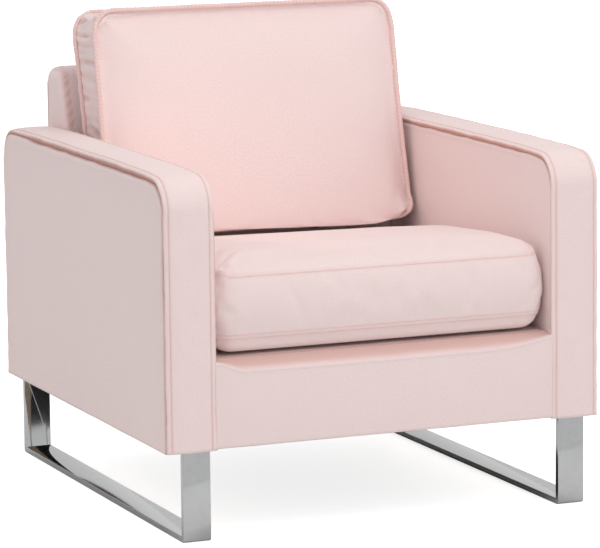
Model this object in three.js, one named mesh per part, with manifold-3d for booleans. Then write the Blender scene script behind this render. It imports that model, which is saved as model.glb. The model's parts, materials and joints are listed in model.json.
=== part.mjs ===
// Upholstered armchair on two chrome sled legs, with a loose seat cushion and a loose back cushion.
// Millimetres, +Z up. The origin is on the floor under the middle of the chair, the sitter faces -Y,
// and +X is to the right of someone who looks at the chair's front.

import * as THREE from "three";
import { mergeVertices } from "three/addons/utils/BufferGeometryUtils.js";
import Module from "manifold-3d";

const wasm = await Module();
wasm.setup();

// ---------------------------------------------------------------- driving dimensions

const WIDTH = 780; // over both arms
const DEPTH = 830; // arm front to arm back
const ARM_HEIGHT = 604; // floor to the top of an arm
const ARM_WIDTH = 84;
const ARM_CORNER = 48; // radius of an arm's top corners, seen from the side
const UNDERSIDE = 150; // floor to the bottom of the upholstery

const BAR_WIDTH = 48; // flat bar of the sled legs
const BAR_THICKNESS = 10;
const BAR_BEND = 6; // outer radius of the bar's bends
const BAR_INSET = 25; // arm's outer face to the bar
const BAR_REVEAL = 1; // arm's front face to the bar
const TONGUE_THICKNESS = 6; // fixing tongue on top of each leg post
const TONGUE_HEIGHT = 66; // above the upholstery's bottom edge
const TONGUE_SHOULDER = 5; // post is this much wider than the tongue on each side

const PADDING = 12; // foam and cloth on the frame
const CLOTH = 3; // cloth and board where there is no foam
const LINING = 1; // dust cover under the seat
const CLEARANCE = 0.3; // between pieces that touch

const FRAME_TIMBER = 32; // thickness of posts, the front rail and the spring rail
const RAIL_TIMBER = 25; // thickness of the other rails
const ARM_SILL = 38; // height of an arm's bottom rail
const SEAT_RAIL_TOP = 280; // floor to the top of the seat rails
const SPRING_RAIL_HEIGHT = 80;
const CORNER_BLOCK = 58;

const LIP_HEIGHT = 278; // floor to the edge where the front rail's cover turns back
const LIP_RUN = 21; // how far that cover slopes back up to the deck
const NOSING_DEPTH = 27; // front of the chair to the back of the foam nosing
const DECK_HEIGHT = 299; // floor to the cloth under the seat cushion
const DECK_CLOTH = 2;

const BACK_HEIGHT = 708; // floor to the top of the back frame
const BACK_TOP_THICKNESS = 61;
const BACK_LEAN = 18.5; // degrees, of the back frame's front face
const BACK_CORNER = 22; // radius of its top corners, seen from the front
const BACK_TOP_ROUND = 14; // radius of its top edges, seen from the side
const BACK_SIDE_PADDING = 6;
const BACK_RAIL_HEIGHT = 45;
const STRAP_WIDTH = 60;
const STRAP_THICKNESS = 2;
const STRAP_SPACING = 190;

const SPRING_COUNT = 4;
const SPRING_WIRE = 3.6;
const SPRING_SWING = 24; // half of the width of a spring's zigzag
const SPRING_PITCH = 90; // length of one full zigzag
const SPRING_BEARING = 16; // how far a spring's end lies on its rail

const SCREW_RADIUS = 2.5;
const SCREW_HEAD_RADIUS = 5;
const SCREW_HEAD_HEIGHT = 3;
const SCREW_LENGTH = 30;
const SCREW_HEIGHT = 36; // above the upholstery's bottom edge
const BOLT_RADIUS = 4;
const BOLT_HEAD_RADIUS = 7.5;
const BOLT_HEAD_HEIGHT = 5.5;
const BOLT_LENGTH = 65; // under the head
const BOLT_SPACING = 480;
const BOLT_HEIGHT = 20; // above the upholstery's bottom edge

const CUSHION_SIDE_GAP = 4; // seat cushion to an arm
const CUSHION_SETBACK = 7; // arm's front face to the seat cushion
const CUSHION_LIFT = 4.5; // deck to the seat cushion
const SEAT_CUSHION_HEIGHT = 132; // at its sides
const SEAT_CROWN = 28;
const SEAT_REAR_DROP = 34; // how much lower its top is at the rear
const SEAT_DROP_BEND = 1.6; // 1 would be a straight slope
const SEAT_CUSHION_ROUND = 36;
const SEAT_TO_BACK = 3; // seat cushion to the back frame

const CUSHION_WALL = 2; // cover of a cushion
const BACK_CUSHION_WIDTH = 556; // without the welts
const BACK_CUSHION_TOP = 819;
const BACK_CUSHION_BOTTOM = 432;
const BACK_CUSHION_DEPTH = 126; // front seam to the back frame, at the cushion's bottom
const BACK_CUSHION_BOXING = 78; // depth of its side walls at the bottom
const BACK_CUSHION_TOP_BOXING = 106;
const BACK_CUSHION_LEAN = 11.4; // degrees, of its front seam
const BACK_CUSHION_ROUND = 14;
const BELLY = 62; // how far its front face swells near the bottom
const CHEST = 34; // and near the top
const BACK_CUSHION_GAP = 4; // its rear face to the back frame
const WELT = 8; // thickness of the piping
const WELT_CORNER = 30;
const WELT_SINK = 12; // how far its ring is drawn into the cover, which then trims it

const ZIP_HEIGHT = 8;
const ZIP_MARGIN = 60; // end of a zip to the cushion's side
const SLIDER_LENGTH = 12;
const SLIDER_WIDTH = 9;
const SLIDER_THICKNESS = 3;

// How finely round shapes are divided.
const BEND_STEPS = 6; // on each bend of an outline
const ROD_SIDES = 12; // round a screw, bolt or rod
const WIRE_SIDES = 3; // on each quarter of a spring's wire
const SPRING_STEPS = 6; // along each turn of a spring
const WELT_STEPS = 5; // on each corner of the piping
const SEAT_CUSHION_STEPS = [10, 10, 5];
const BACK_CUSHION_STEPS = [10, 4, 10];

// ---------------------------------------------------------------- places worked out from them

const sideX = WIDTH / 2;
const innerX = sideX - ARM_WIDTH; // an arm's inner face
const frontY = -DEPTH / 2;
const rearY = DEPTH / 2;
const seatHalf = innerX - CLEARANCE; // half of the width between the arms
const railBottom = UNDERSIDE + LINING + CLEARANCE * 2;
const deckUnderside = DECK_HEIGHT - DECK_CLOTH;
const barX = sideX - BAR_INSET - BAR_WIDTH / 2;
const padY = DEPTH / 2 - PADDING - CLEARANCE; // an arm's timber ends here
const lean = Math.tan(THREE.MathUtils.degToRad(BACK_LEAN));
const cushionLean = Math.tan(THREE.MathUtils.degToRad(BACK_CUSHION_LEAN));

// The back frame's front face, moved rearwards by an inset measured square to it.
function backFaceY(z, inset = 0) {
  const face = rearY - BACK_TOP_THICKNESS - (BACK_HEIGHT - z) * lean;
  return face + inset * Math.hypot(1, lean);
}

const cushionBottom = DECK_HEIGHT + CUSHION_LIFT;
const cushionFrontY = frontY + CUSHION_SETBACK;
const cushionRearY = backFaceY(cushionBottom) - SEAT_TO_BACK;
const springRailY = backFaceY(DECK_HEIGHT) + PADDING; // front of the rail under the back frame

// ---------------------------------------------------------------- materials

const materials = {
  cloth: { color: 0xe3c9c6, roughness: 0.95, metalness: 0 },
  chrome: { color: 0xc9cccd, roughness: 0.08, metalness: 1 },
  timber: { color: 0xc9a877, roughness: 0.75, metalness: 0 },
  steel: { color: 0x8d9093, roughness: 0.4, metalness: 0.9 },
  foam: { color: 0xefe6cf, roughness: 0.95, metalness: 0 },
  webbing: { color: 0x5a4a3c, roughness: 0.9, metalness: 0 },
  lining: { color: 0x26262a, roughness: 0.95, metalness: 0 },
  zip: { color: 0xd8bcb8, roughness: 0.6, metalness: 0 },
};

const chair = new THREE.Group();

function place(name, geometry, look) {
  const mesh = new THREE.Mesh(geometry, new THREE.MeshStandardMaterial(materials[look]));
  mesh.name = name;
  chair.add(mesh);
}

// ---------------------------------------------------------------- solid tools

const MERGE_DISTANCE = 1e-4;

function toSolid(geometry) {
  let bare = geometry.clone();
  bare.deleteAttribute("normal");
  bare.deleteAttribute("uv");
  bare = mergeVertices(bare, MERGE_DISTANCE);
  return new wasm.Manifold(
    new wasm.Mesh({
      numProp: 3,
      vertProperties: new Float32Array(bare.attributes.position.array),
      triVerts: new Uint32Array(bare.index.array),
    }),
  );
}

function toGeometry(solid) {
  const mesh = solid.getMesh();
  const geometry = new THREE.BufferGeometry();
  geometry.setAttribute("position", new THREE.BufferAttribute(mesh.vertProperties, 3));
  geometry.setIndex(new THREE.BufferAttribute(mesh.triVerts, 1));
  geometry.computeVertexNormals();
  return geometry;
}

function common(geometry, other) {
  return toGeometry(toSolid(geometry).intersect(toSolid(other)));
}

function cut(geometry, ...tools) {
  const solid = tools.reduce((rest, tool) => rest.subtract(toSolid(tool)), toSolid(geometry));
  return toGeometry(solid);
}

function join(geometry, ...others) {
  const solid = others.reduce((sum, other) => sum.add(toSolid(other)), toSolid(geometry));
  return toGeometry(solid);
}

// A box between two limits on each axis, whichever way round the limits are given.
function block([x0, x1], [y0, y1], [z0, z1]) {
  const box = new THREE.BoxGeometry(Math.abs(x1 - x0), Math.abs(y1 - y0), Math.abs(z1 - z0));
  return box.translate((x0 + x1) / 2, (y0 + y1) / 2, (z0 + z1) / 2);
}

function outline(points) {
  return new THREE.Shape(points.map(([u, v]) => new THREE.Vector2(u, v)));
}

function extrude(shape, depth, curveSegments = BEND_STEPS) {
  return new THREE.ExtrudeGeometry(shape, { depth, bevelEnabled: false, curveSegments });
}

// A side outline, drawn as (y, z), made solid from x0 to x1.
function alongX(shape, x0, x1) {
  const upright = new THREE.Matrix4().makeBasis(
    new THREE.Vector3(0, 1, 0),
    new THREE.Vector3(0, 0, 1),
    new THREE.Vector3(1, 0, 0),
  );
  return extrude(shape, Math.abs(x1 - x0)).applyMatrix4(upright).translate(Math.min(x0, x1), 0, 0);
}

// A plan outline, drawn as (x, y), made solid from z0 to z1.
function alongZ(shape, z0, z1) {
  return extrude(shape, z1 - z0).translate(0, 0, z0);
}

// A turned piece: profile points are (radius, distance along the axis from the head).
function turned(points, sides, direction, at) {
  const geometry = new THREE.LatheGeometry(
    points.map(([radius, along]) => new THREE.Vector2(radius, along)),
    sides,
  );
  const turn = new THREE.Quaternion().setFromUnitVectors(new THREE.Vector3(0, 1, 0), direction);
  return geometry.applyQuaternion(turn).translate(at.x, at.y, at.z);
}

function rod(radius, length, direction, at) {
  return turned([[0, 0], [radius, 0], [radius, length], [0, length]], ROD_SIDES, direction, at);
}

// A box with rounded edges whose faces can then be swollen by a reshape function. Points are
// closer together near the edges, where the shape turns.
function softBox(half, radius, counts, reshape) {
  const geometry = new THREE.BoxGeometry(2, 2, 2, ...counts);
  const position = geometry.attributes.position;
  const point = new THREE.Vector3();
  const core = half.clone().subScalar(radius);
  const inner = new THREE.Vector3();
  for (let i = 0; i < position.count; i++) {
    point.fromBufferAttribute(position, i);
    point.set(...point.toArray().map((share) => Math.sin((share * Math.PI) / 2)));
    point.multiply(half);
    inner.copy(point).clamp(core.clone().negate(), core);
    point.sub(inner).setLength(radius).add(inner);
    reshape(point);
    position.setXYZ(i, point.x, point.y, point.z);
  }
  return geometry;
}

// ---------------------------------------------------------------- sled legs

const postOuterY = DEPTH / 2 - BAR_REVEAL;
const postTop = UNDERSIDE - CLEARANCE;
const tongueY = padY; // tongue's outer face, behind the cover
const tongueTop = UNDERSIDE + TONGUE_HEIGHT;
const tongueHalf = BAR_WIDTH / 2 - TONGUE_SHOULDER;
const screwZ = UNDERSIDE + SCREW_HEIGHT;

function sledBar() {
  const y = postOuterY;
  const inner = y - BAR_THICKNESS;
  const shape = new THREE.Shape();
  shape.moveTo(-y, postTop);
  shape.lineTo(-y, BAR_BEND);
  shape.absarc(-y + BAR_BEND, BAR_BEND, BAR_BEND, Math.PI, Math.PI * 1.5, false);
  shape.lineTo(y - BAR_BEND, 0);
  shape.absarc(y - BAR_BEND, BAR_BEND, BAR_BEND, Math.PI * 1.5, Math.PI * 2, false);
  shape.lineTo(y, postTop);
  shape.lineTo(inner, postTop);
  shape.lineTo(inner, BAR_THICKNESS);
  shape.lineTo(-inner, BAR_THICKNESS);
  shape.lineTo(-inner, postTop);
  shape.closePath();
  return shape;
}

// The L-shaped fixing on a post's top: a short lug under the cover's hem and a tongue behind it.
function tongueShape(end) {
  const outer = end * tongueY;
  const inner = end * (tongueY - TONGUE_THICKNESS);
  const root = end * (postOuterY - BAR_THICKNESS / 2);
  return outline([
    [root, postTop - TONGUE_THICKNESS],
    [inner, postTop - TONGUE_THICKNESS],
    [inner, tongueTop],
    [outer, tongueTop],
    [outer, postTop],
    [root, postTop],
  ]);
}

function screwAxis(end) {
  return new THREE.Vector3(0, -end, 0);
}

function legScrew(side, end) {
  const profile = [
    [0, 0],
    [SCREW_HEAD_RADIUS, 0],
    [SCREW_RADIUS, SCREW_HEAD_HEIGHT],
    [SCREW_RADIUS, SCREW_LENGTH - SCREW_HEAD_HEIGHT],
    [0, SCREW_LENGTH],
  ];
  const at = new THREE.Vector3(side * barX, end * (tongueY - CLEARANCE), screwZ);
  return turned(profile, ROD_SIDES, screwAxis(end), at);
}

// The room that a leg screw needs in the tongue and in the post behind it.
function legScrewHole(side, end) {
  const wide = CLEARANCE * 2;
  const reach = SCREW_HEAD_HEIGHT;
  const profile = [
    [0, -reach],
    [SCREW_HEAD_RADIUS + wide, -reach],
    [SCREW_HEAD_RADIUS + wide, wide],
    [SCREW_RADIUS + CLEARANCE, SCREW_HEAD_HEIGHT + wide * 2],
    [SCREW_RADIUS + CLEARANCE, SCREW_LENGTH + wide],
    [0, SCREW_LENGTH + wide],
  ];
  const at = new THREE.Vector3(side * barX, end * (tongueY - CLEARANCE), screwZ);
  return turned(profile, ROD_SIDES, screwAxis(end), at);
}

function sledLeg(side) {
  const bar = alongX(sledBar(), side * barX - BAR_WIDTH / 2, side * barX + BAR_WIDTH / 2);
  const tongues = [-1, 1].map((end) =>
    alongX(tongueShape(end), side * barX - tongueHalf, side * barX + tongueHalf),
  );
  return cut(join(bar, ...tongues), legScrewHole(side, -1), legScrewHole(side, 1));
}

// ---------------------------------------------------------------- arms

// An arm seen from the side, inset by a margin: square at the bottom, round at the top corners.
function armShape(margin, bottom) {
  const y = DEPTH / 2 - margin;
  const top = ARM_HEIGHT - margin;
  const radius = ARM_CORNER - margin;
  const shape = new THREE.Shape();
  shape.moveTo(-y, bottom);
  shape.lineTo(y, bottom);
  shape.lineTo(y, top - radius);
  shape.absarc(y - radius, top - radius, radius, 0, Math.PI / 2, false);
  shape.lineTo(-y + radius, top);
  shape.absarc(-y + radius, top - radius, radius, Math.PI / 2, Math.PI, false);
  shape.closePath();
  return shape;
}

const armMargin = PADDING + CLEARANCE;
const armOuterTimber = sideX - armMargin;
const armInnerTimber = innerX + armMargin;
const timberTop = ARM_HEIGHT - armMargin;

function bandCover(side) {
  const full = alongX(armShape(0, UNDERSIDE), side * innerX, side * sideX);
  const hollow = armShape(PADDING, UNDERSIDE - PADDING);
  return cut(full, alongX(hollow, side * (innerX - PADDING), side * (sideX + PADDING)));
}

function panelCover(from, to) {
  return alongX(armShape(armMargin, UNDERSIDE), from, to);
}

function boltHole(side, y) {
  const inward = new THREE.Vector3(side, 0, 0);
  const at = new THREE.Vector3(side * boltHeadX, y, boltZ);
  return rod(BOLT_RADIUS + CLEARANCE, BOLT_LENGTH + CLEARANCE * 2, inward, at);
}

function innerCover(side) {
  const panel = panelCover(side * innerX, side * (innerX + PADDING));
  return cut(panel, ...boltYs.map((y) => boltHole(side, y)));
}

// A timber of the arm between two limits along the arm and up it, trimmed to the arm's round corners.
function armTimber(side, y, z) {
  const timber = block([side * armInnerTimber, side * armOuterTimber], y, z);
  return common(timber, alongX(armShape(armMargin, UNDERSIDE), side * innerX, side * sideX));
}

// Front (end -1) or rear (end 1) post, rebated at the foot for the leg's tongue.
function armPost(side, end) {
  const outer = end * padY;
  const inner = end * (padY - FRAME_TIMBER);
  const height = [UNDERSIDE + CLEARANCE, timberTop - RAIL_TIMBER - CLEARANCE];
  const post = armTimber(side, [outer, inner], height);
  const slack = CLEARANCE;
  const rebate = block(
    [side * barX - tongueHalf - slack, side * barX + tongueHalf + slack],
    [outer + end, end * (tongueY - TONGUE_THICKNESS - slack)],
    [UNDERSIDE - slack, tongueTop + slack],
  );
  return cut(post, rebate, legScrewHole(side, end));
}

function armTopRail(side) {
  return armTimber(side, [-padY, padY], [timberTop - RAIL_TIMBER, timberTop]);
}

function armBottomRail(side) {
  const y = padY - FRAME_TIMBER - CLEARANCE;
  const z = UNDERSIDE + CLEARANCE;
  const rail = armTimber(side, [-y, y], [z, z + ARM_SILL]);
  return cut(rail, ...boltYs.map((at) => boltHole(side, at)));
}

// ---------------------------------------------------------------- seat box between the arms

const sideRailInner = seatHalf - RAIL_TIMBER;
const frontRailRear = -padY + FRAME_TIMBER;
const rearRailRear = rearY - CLOTH - CLEARANCE;
const rearRailFront = rearRailRear - RAIL_TIMBER;
const boltHeadX = sideRailInner - CLEARANCE;
const boltZ = UNDERSIDE + BOLT_HEIGHT;
const boltYs = [-BOLT_SPACING / 2, BOLT_SPACING / 2];

function frontRail() {
  return block([-seatHalf, seatHalf], [-padY, frontRailRear], [railBottom, SEAT_RAIL_TOP]);
}

function rearRail() {
  return block([-seatHalf, seatHalf], [rearRailFront, rearRailRear], [railBottom, SEAT_RAIL_TOP]);
}

function sideRail(side) {
  const rail = block(
    [side * sideRailInner, side * seatHalf],
    [frontRailRear + CLEARANCE, rearRailFront - CLEARANCE],
    [railBottom, SEAT_RAIL_TOP],
  );
  return cut(rail, ...boltYs.map((y) => boltHole(side, y)));
}

function springRail() {
  const half = sideRailInner - CLEARANCE;
  const z = SEAT_RAIL_TOP - SPRING_RAIL_HEIGHT;
  return block([-half, half], [springRailY, springRailY + FRAME_TIMBER], [z, SEAT_RAIL_TOP]);
}

// A three-cornered block glued into a corner of the seat box.
function cornerBlock(side, end) {
  const x = side * (sideRailInner - CLEARANCE);
  const y = end < 0 ? frontRailRear + CLEARANCE : rearRailFront - CLEARANCE;
  const shape = outline([
    [x, y],
    [x - side * CORNER_BLOCK, y],
    [x, y - end * CORNER_BLOCK],
  ]);
  return alongZ(shape, SEAT_RAIL_TOP - SPRING_RAIL_HEIGHT, SEAT_RAIL_TOP - CLEARANCE);
}

function armBolt(side, y) {
  const outward = new THREE.Vector3(side, 0, 0);
  const headAt = new THREE.Vector3(side * (boltHeadX - BOLT_HEAD_HEIGHT), y, boltZ);
  const profile = [
    [0, 0],
    [BOLT_HEAD_RADIUS, 0],
    [BOLT_HEAD_RADIUS, BOLT_HEAD_HEIGHT],
    [BOLT_RADIUS, BOLT_HEAD_HEIGHT],
    [BOLT_RADIUS, BOLT_HEAD_HEIGHT + BOLT_LENGTH],
    [0, BOLT_HEAD_HEIGHT + BOLT_LENGTH],
  ];
  return turned(profile, ROD_SIDES, outward, headAt);
}

// ---------------------------------------------------------------- springs, deck and covers

const springSpan = [-padY + FRAME_TIMBER - SPRING_BEARING, springRailY + SPRING_BEARING];
const springZ = SEAT_RAIL_TOP + CLEARANCE + SPRING_WIRE / 2;
const nosingRear = frontY + NOSING_DEPTH;

// A zigzag wire spring from the front rail to the spring rail.
function zigzagSpring(x) {
  const [start, end] = springSpan;
  const turns = Math.round((end - start) / SPRING_PITCH);
  const steps = turns * SPRING_STEPS;
  const points = [];
  for (let i = 0; i <= steps; i++) {
    const along = i / steps;
    const swing = SPRING_SWING * Math.sin(along * turns * Math.PI * 2);
    points.push(new THREE.Vector3(x + swing, start + along * (end - start), springZ));
  }
  const section = new THREE.Shape();
  section.absarc(0, 0, SPRING_WIRE / 2, 0, Math.PI * 2, false);
  return new THREE.ExtrudeGeometry(section, {
    steps,
    curveSegments: WIRE_SIDES,
    bevelEnabled: false,
    extrudePath: new THREE.CatmullRomCurve3(points),
  });
}

function deckPad() {
  const z = springZ + SPRING_WIRE / 2 + CLEARANCE;
  return block(
    [-seatHalf, seatHalf],
    [nosingRear + CLEARANCE, backFaceY(z) - CLEARANCE],
    [z, deckUnderside - CLEARANCE],
  );
}

function deckCover() {
  return block(
    [-seatHalf, seatHalf],
    [nosingRear + CLEARANCE, backFaceY(deckUnderside) - CLEARANCE],
    [deckUnderside, DECK_HEIGHT],
  );
}

// Padded cover of the front rail, with the foam nosing that slopes back to the deck.
function frontRailCover() {
  const shape = outline([
    [frontY, UNDERSIDE],
    [frontY + PADDING, UNDERSIDE],
    [frontY + PADDING, SEAT_RAIL_TOP + CLEARANCE],
    [nosingRear, SEAT_RAIL_TOP + CLEARANCE],
    [nosingRear, DECK_HEIGHT],
    [frontY + LIP_RUN, DECK_HEIGHT],
    [frontY, LIP_HEIGHT],
  ]);
  return alongX(shape, -seatHalf, seatHalf);
}

function dustCover() {
  const z = railBottom - CLEARANCE;
  return block([-seatHalf, seatHalf], [-padY, padY], [z - LINING, z]);
}

// ---------------------------------------------------------------- back frame

const backFoot = SEAT_RAIL_TOP + CLEARANCE;
const coverFoot = DECK_HEIGHT + CLEARANCE; // the back's cover and straps start at the deck
const backTimberTop = BACK_HEIGHT - PADDING - CLEARANCE;
const backInset = PADDING + CLEARANCE;
const backSideTimber = seatHalf - BACK_SIDE_PADDING - CLEARANCE;
const strapInset = backInset + STRAP_THICKNESS + CLEARANCE;

// The leaning wedge of the back frame between a bottom and a top, inset from its front face.
function wedge(bottom, top, inset, rear) {
  return outline([
    [rear, bottom],
    [rear, top],
    [backFaceY(top, inset), top],
    [backFaceY(bottom, inset), bottom],
  ]);
}

function backPanel(side) {
  const shape = wedge(backFoot, backTimberTop, strapInset, rearRailRear);
  return alongX(shape, side * (backSideTimber - RAIL_TIMBER), side * backSideTimber);
}

function backRail(bottom, top) {
  const half = backSideTimber - RAIL_TIMBER - CLEARANCE;
  const shape = wedge(bottom, top, strapInset, backFaceY(top, strapInset + FRAME_TIMBER));
  return alongX(shape, -half, half);
}

function backStrap(x) {
  const shape = outline([
    [backFaceY(coverFoot, backInset), coverFoot],
    [backFaceY(coverFoot, backInset + STRAP_THICKNESS), coverFoot],
    [backFaceY(backTimberTop, backInset + STRAP_THICKNESS), backTimberTop],
    [backFaceY(backTimberTop, backInset), backTimberTop],
  ]);
  return alongX(shape, x - STRAP_WIDTH / 2, x + STRAP_WIDTH / 2);
}

// Rounded front view of the back frame, inset by a margin, as a long bar along Y.
function backFrontView(margin, bottom) {
  const x = seatHalf - margin;
  const top = BACK_HEIGHT - margin;
  const radius = BACK_CORNER - margin;
  const shape = new THREE.Shape();
  shape.moveTo(-x, bottom);
  shape.lineTo(x, bottom);
  shape.lineTo(x, top - radius);
  shape.absarc(x - radius, top - radius, radius, 0, Math.PI / 2, false);
  shape.lineTo(-x + radius, top);
  shape.absarc(-x + radius, top - radius, radius, Math.PI / 2, Math.PI, false);
  shape.closePath();
  return extrude(shape, DEPTH).rotateX(Math.PI / 2).translate(0, rearY, 0);
}

// Side view of the covered back frame with its two top edges rounded.
function backSideView() {
  const r = BACK_TOP_ROUND;
  const top = BACK_HEIGHT;
  const shape = new THREE.Shape();
  shape.moveTo(rearY, coverFoot);
  shape.lineTo(rearY, top - r);
  shape.quadraticCurveTo(rearY, top, rearY - r, top);
  shape.lineTo(backFaceY(top) + r, top);
  shape.quadraticCurveTo(backFaceY(top), top, backFaceY(top - r), top - r);
  shape.lineTo(backFaceY(coverFoot), coverFoot);
  shape.closePath();
  return alongX(shape, -seatHalf, seatHalf);
}

// Cover over the front, top and sides of the back frame, open below and behind.
function backFrameCover() {
  const outside = common(backSideView(), backFrontView(0, coverFoot));
  const below = coverFoot - PADDING;
  const hollow = alongX(
    wedge(below, BACK_HEIGHT - PADDING, PADDING, rearY + PADDING),
    -(seatHalf - BACK_SIDE_PADDING),
    seatHalf - BACK_SIDE_PADDING,
  );
  return cut(outside, hollow);
}

function rearCover() {
  const half = seatHalf - BACK_SIDE_PADDING - CLEARANCE;
  const low = block([-seatHalf, seatHalf], [rearY - CLOTH, rearY], [UNDERSIDE, coverFoot - CLEARANCE]);
  const high = block(
    [-half, half],
    [rearY - CLOTH, rearY],
    [coverFoot - CLOTH, backTimberTop],
  );
  return join(low, high);
}

// ---------------------------------------------------------------- seat cushion

const seatCushion = {
  half: new THREE.Vector3(
    innerX - CUSHION_SIDE_GAP,
    (cushionRearY - cushionFrontY) / 2,
    SEAT_CUSHION_HEIGHT / 2,
  ),
  y: (cushionRearY + cushionFrontY) / 2,
  z: cushionBottom + SEAT_CUSHION_HEIGHT / 2,
};

// The seat cushion's outside, or a smaller copy of it: its top swells towards the middle and
// slopes down to the rear, where the back cushion presses on it.
function seatCushionSolid(inset) {
  const half = seatCushion.half.clone().subScalar(inset);
  return softBox(half, SEAT_CUSHION_ROUND - inset, SEAT_CUSHION_STEPS, (p) => {
    const across = 1 - (p.x / half.x) ** 2;
    const along = 1 - (p.y / half.y) ** 2;
    const up = Math.max(0, p.z / half.z);
    const rearward = ((p.y / half.y + 1) / 2) ** SEAT_DROP_BEND;
    p.z += (SEAT_CROWN * across * along - SEAT_REAR_DROP * rearward) * up;
    p.y += seatCushion.y;
    p.z += seatCushion.z;
  });
}

const zipHalf = seatCushion.half.x - ZIP_MARGIN;

function seatZipRoom(slack) {
  return block(
    [-zipHalf - slack, zipHalf + slack],
    [cushionRearY - CUSHION_WALL * 2, cushionRearY + slack * 2],
    [seatCushion.z - ZIP_HEIGHT / 2 - slack, seatCushion.z + ZIP_HEIGHT / 2 + slack],
  );
}

function seatCushionCover() {
  return cut(seatCushionSolid(0), seatCushionSolid(CUSHION_WALL), seatZipRoom(CLEARANCE));
}

function seatZip() {
  return block(
    [-zipHalf, zipHalf],
    [cushionRearY - CUSHION_WALL, cushionRearY],
    [seatCushion.z - ZIP_HEIGHT / 2, seatCushion.z + ZIP_HEIGHT / 2],
  );
}

function seatZipSlider() {
  return block(
    [-zipHalf, -zipHalf + SLIDER_LENGTH],
    [cushionRearY + CLEARANCE, cushionRearY + CLEARANCE + SLIDER_THICKNESS],
    [seatCushion.z - SLIDER_WIDTH / 2, seatCushion.z + SLIDER_WIDTH / 2],
  );
}

// ---------------------------------------------------------------- back cushion

const backCushionHalf = new THREE.Vector3(
  BACK_CUSHION_WIDTH / 2,
  BACK_CUSHION_BOXING / 2,
  (BACK_CUSHION_TOP - BACK_CUSHION_BOTTOM) / 2,
);
const backCushionZ = (BACK_CUSHION_TOP + BACK_CUSHION_BOTTOM) / 2;

function frontSeamY(z) {
  const foot = backFaceY(BACK_CUSHION_BOTTOM) - BACK_CUSHION_DEPTH;
  return foot + (z - BACK_CUSHION_BOTTOM) * cushionLean;
}

function rearSeamY(z) {
  const share = (z - BACK_CUSHION_BOTTOM) / (BACK_CUSHION_TOP - BACK_CUSHION_BOTTOM);
  return frontSeamY(z) + THREE.MathUtils.lerp(BACK_CUSHION_BOXING, BACK_CUSHION_TOP_BOXING, share);
}

// The back cushion's outside, or a smaller copy of it. Its front face swells most near the bottom,
// and its rear face swells until it almost meets the back frame.
function backCushionSolid(inset) {
  const half = backCushionHalf.clone().subScalar(inset);
  return softBox(half, BACK_CUSHION_ROUND - inset, BACK_CUSHION_STEPS, (p) => {
    const through = p.y / half.y;
    const up = p.z / half.z;
    const across = 1 - (p.x / half.x) ** 2;
    const swell = Math.sqrt(Math.max(0, 1 - up * up)) * across;
    const z = backCushionZ + p.z;
    const front = frontSeamY(z) + inset;
    const rear = rearSeamY(z) - inset;
    const forward = THREE.MathUtils.lerp(BELLY, CHEST, (up + 1) / 2);
    const rearward = backFaceY(z) - BACK_CUSHION_GAP - rearSeamY(z);
    const side = through < 0 ? -forward : Math.min(rearward, BELLY);
    p.y = THREE.MathUtils.lerp(front, rear, (through + 1) / 2) + side * swell * Math.abs(through);
    p.z = z;
  });
}

const backZipHalf = backCushionHalf.x - ZIP_MARGIN;
const backZipY = rearSeamY(BACK_CUSHION_BOTTOM) - BACK_CUSHION_BOXING / 3;

function backZipRoom(slack) {
  return block(
    [-backZipHalf - slack, backZipHalf + slack],
    [backZipY - ZIP_HEIGHT / 2 - slack, backZipY + ZIP_HEIGHT / 2 + slack],
    [BACK_CUSHION_BOTTOM - slack * 2, BACK_CUSHION_BOTTOM + CUSHION_WALL * 2],
  );
}

function backCushionCover() {
  return cut(backCushionSolid(0), backCushionSolid(CUSHION_WALL), backZipRoom(CLEARANCE));
}

function backZip() {
  return block(
    [-backZipHalf, backZipHalf],
    [backZipY - ZIP_HEIGHT / 2, backZipY + ZIP_HEIGHT / 2],
    [BACK_CUSHION_BOTTOM, BACK_CUSHION_BOTTOM + CUSHION_WALL],
  );
}

function backZipSlider() {
  const top = BACK_CUSHION_BOTTOM - CLEARANCE;
  return block(
    [-backZipHalf, -backZipHalf + SLIDER_LENGTH],
    [backZipY - SLIDER_WIDTH / 2, backZipY + SLIDER_WIDTH / 2],
    [top - SLIDER_THICKNESS, top],
  );
}

// Points of a rounded rectangle about the origin.
function weltLoop(halfWidth, halfHeight, radius) {
  const path = new THREE.Path();
  path.moveTo(-halfWidth + radius, -halfHeight);
  path.lineTo(halfWidth - radius, -halfHeight);
  path.absarc(halfWidth - radius, -halfHeight + radius, radius, -Math.PI / 2, 0, false);
  path.lineTo(halfWidth, halfHeight - radius);
  path.absarc(halfWidth - radius, halfHeight - radius, radius, 0, Math.PI / 2, false);
  path.lineTo(-halfWidth + radius, halfHeight);
  path.absarc(-halfWidth + radius, halfHeight - radius, radius, Math.PI / 2, Math.PI, false);
  path.lineTo(-halfWidth, -halfHeight + radius);
  path.absarc(-halfWidth + radius, -halfHeight + radius, radius, Math.PI, Math.PI * 1.5, false);
  return path.getPoints(WELT_STEPS);
}

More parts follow.
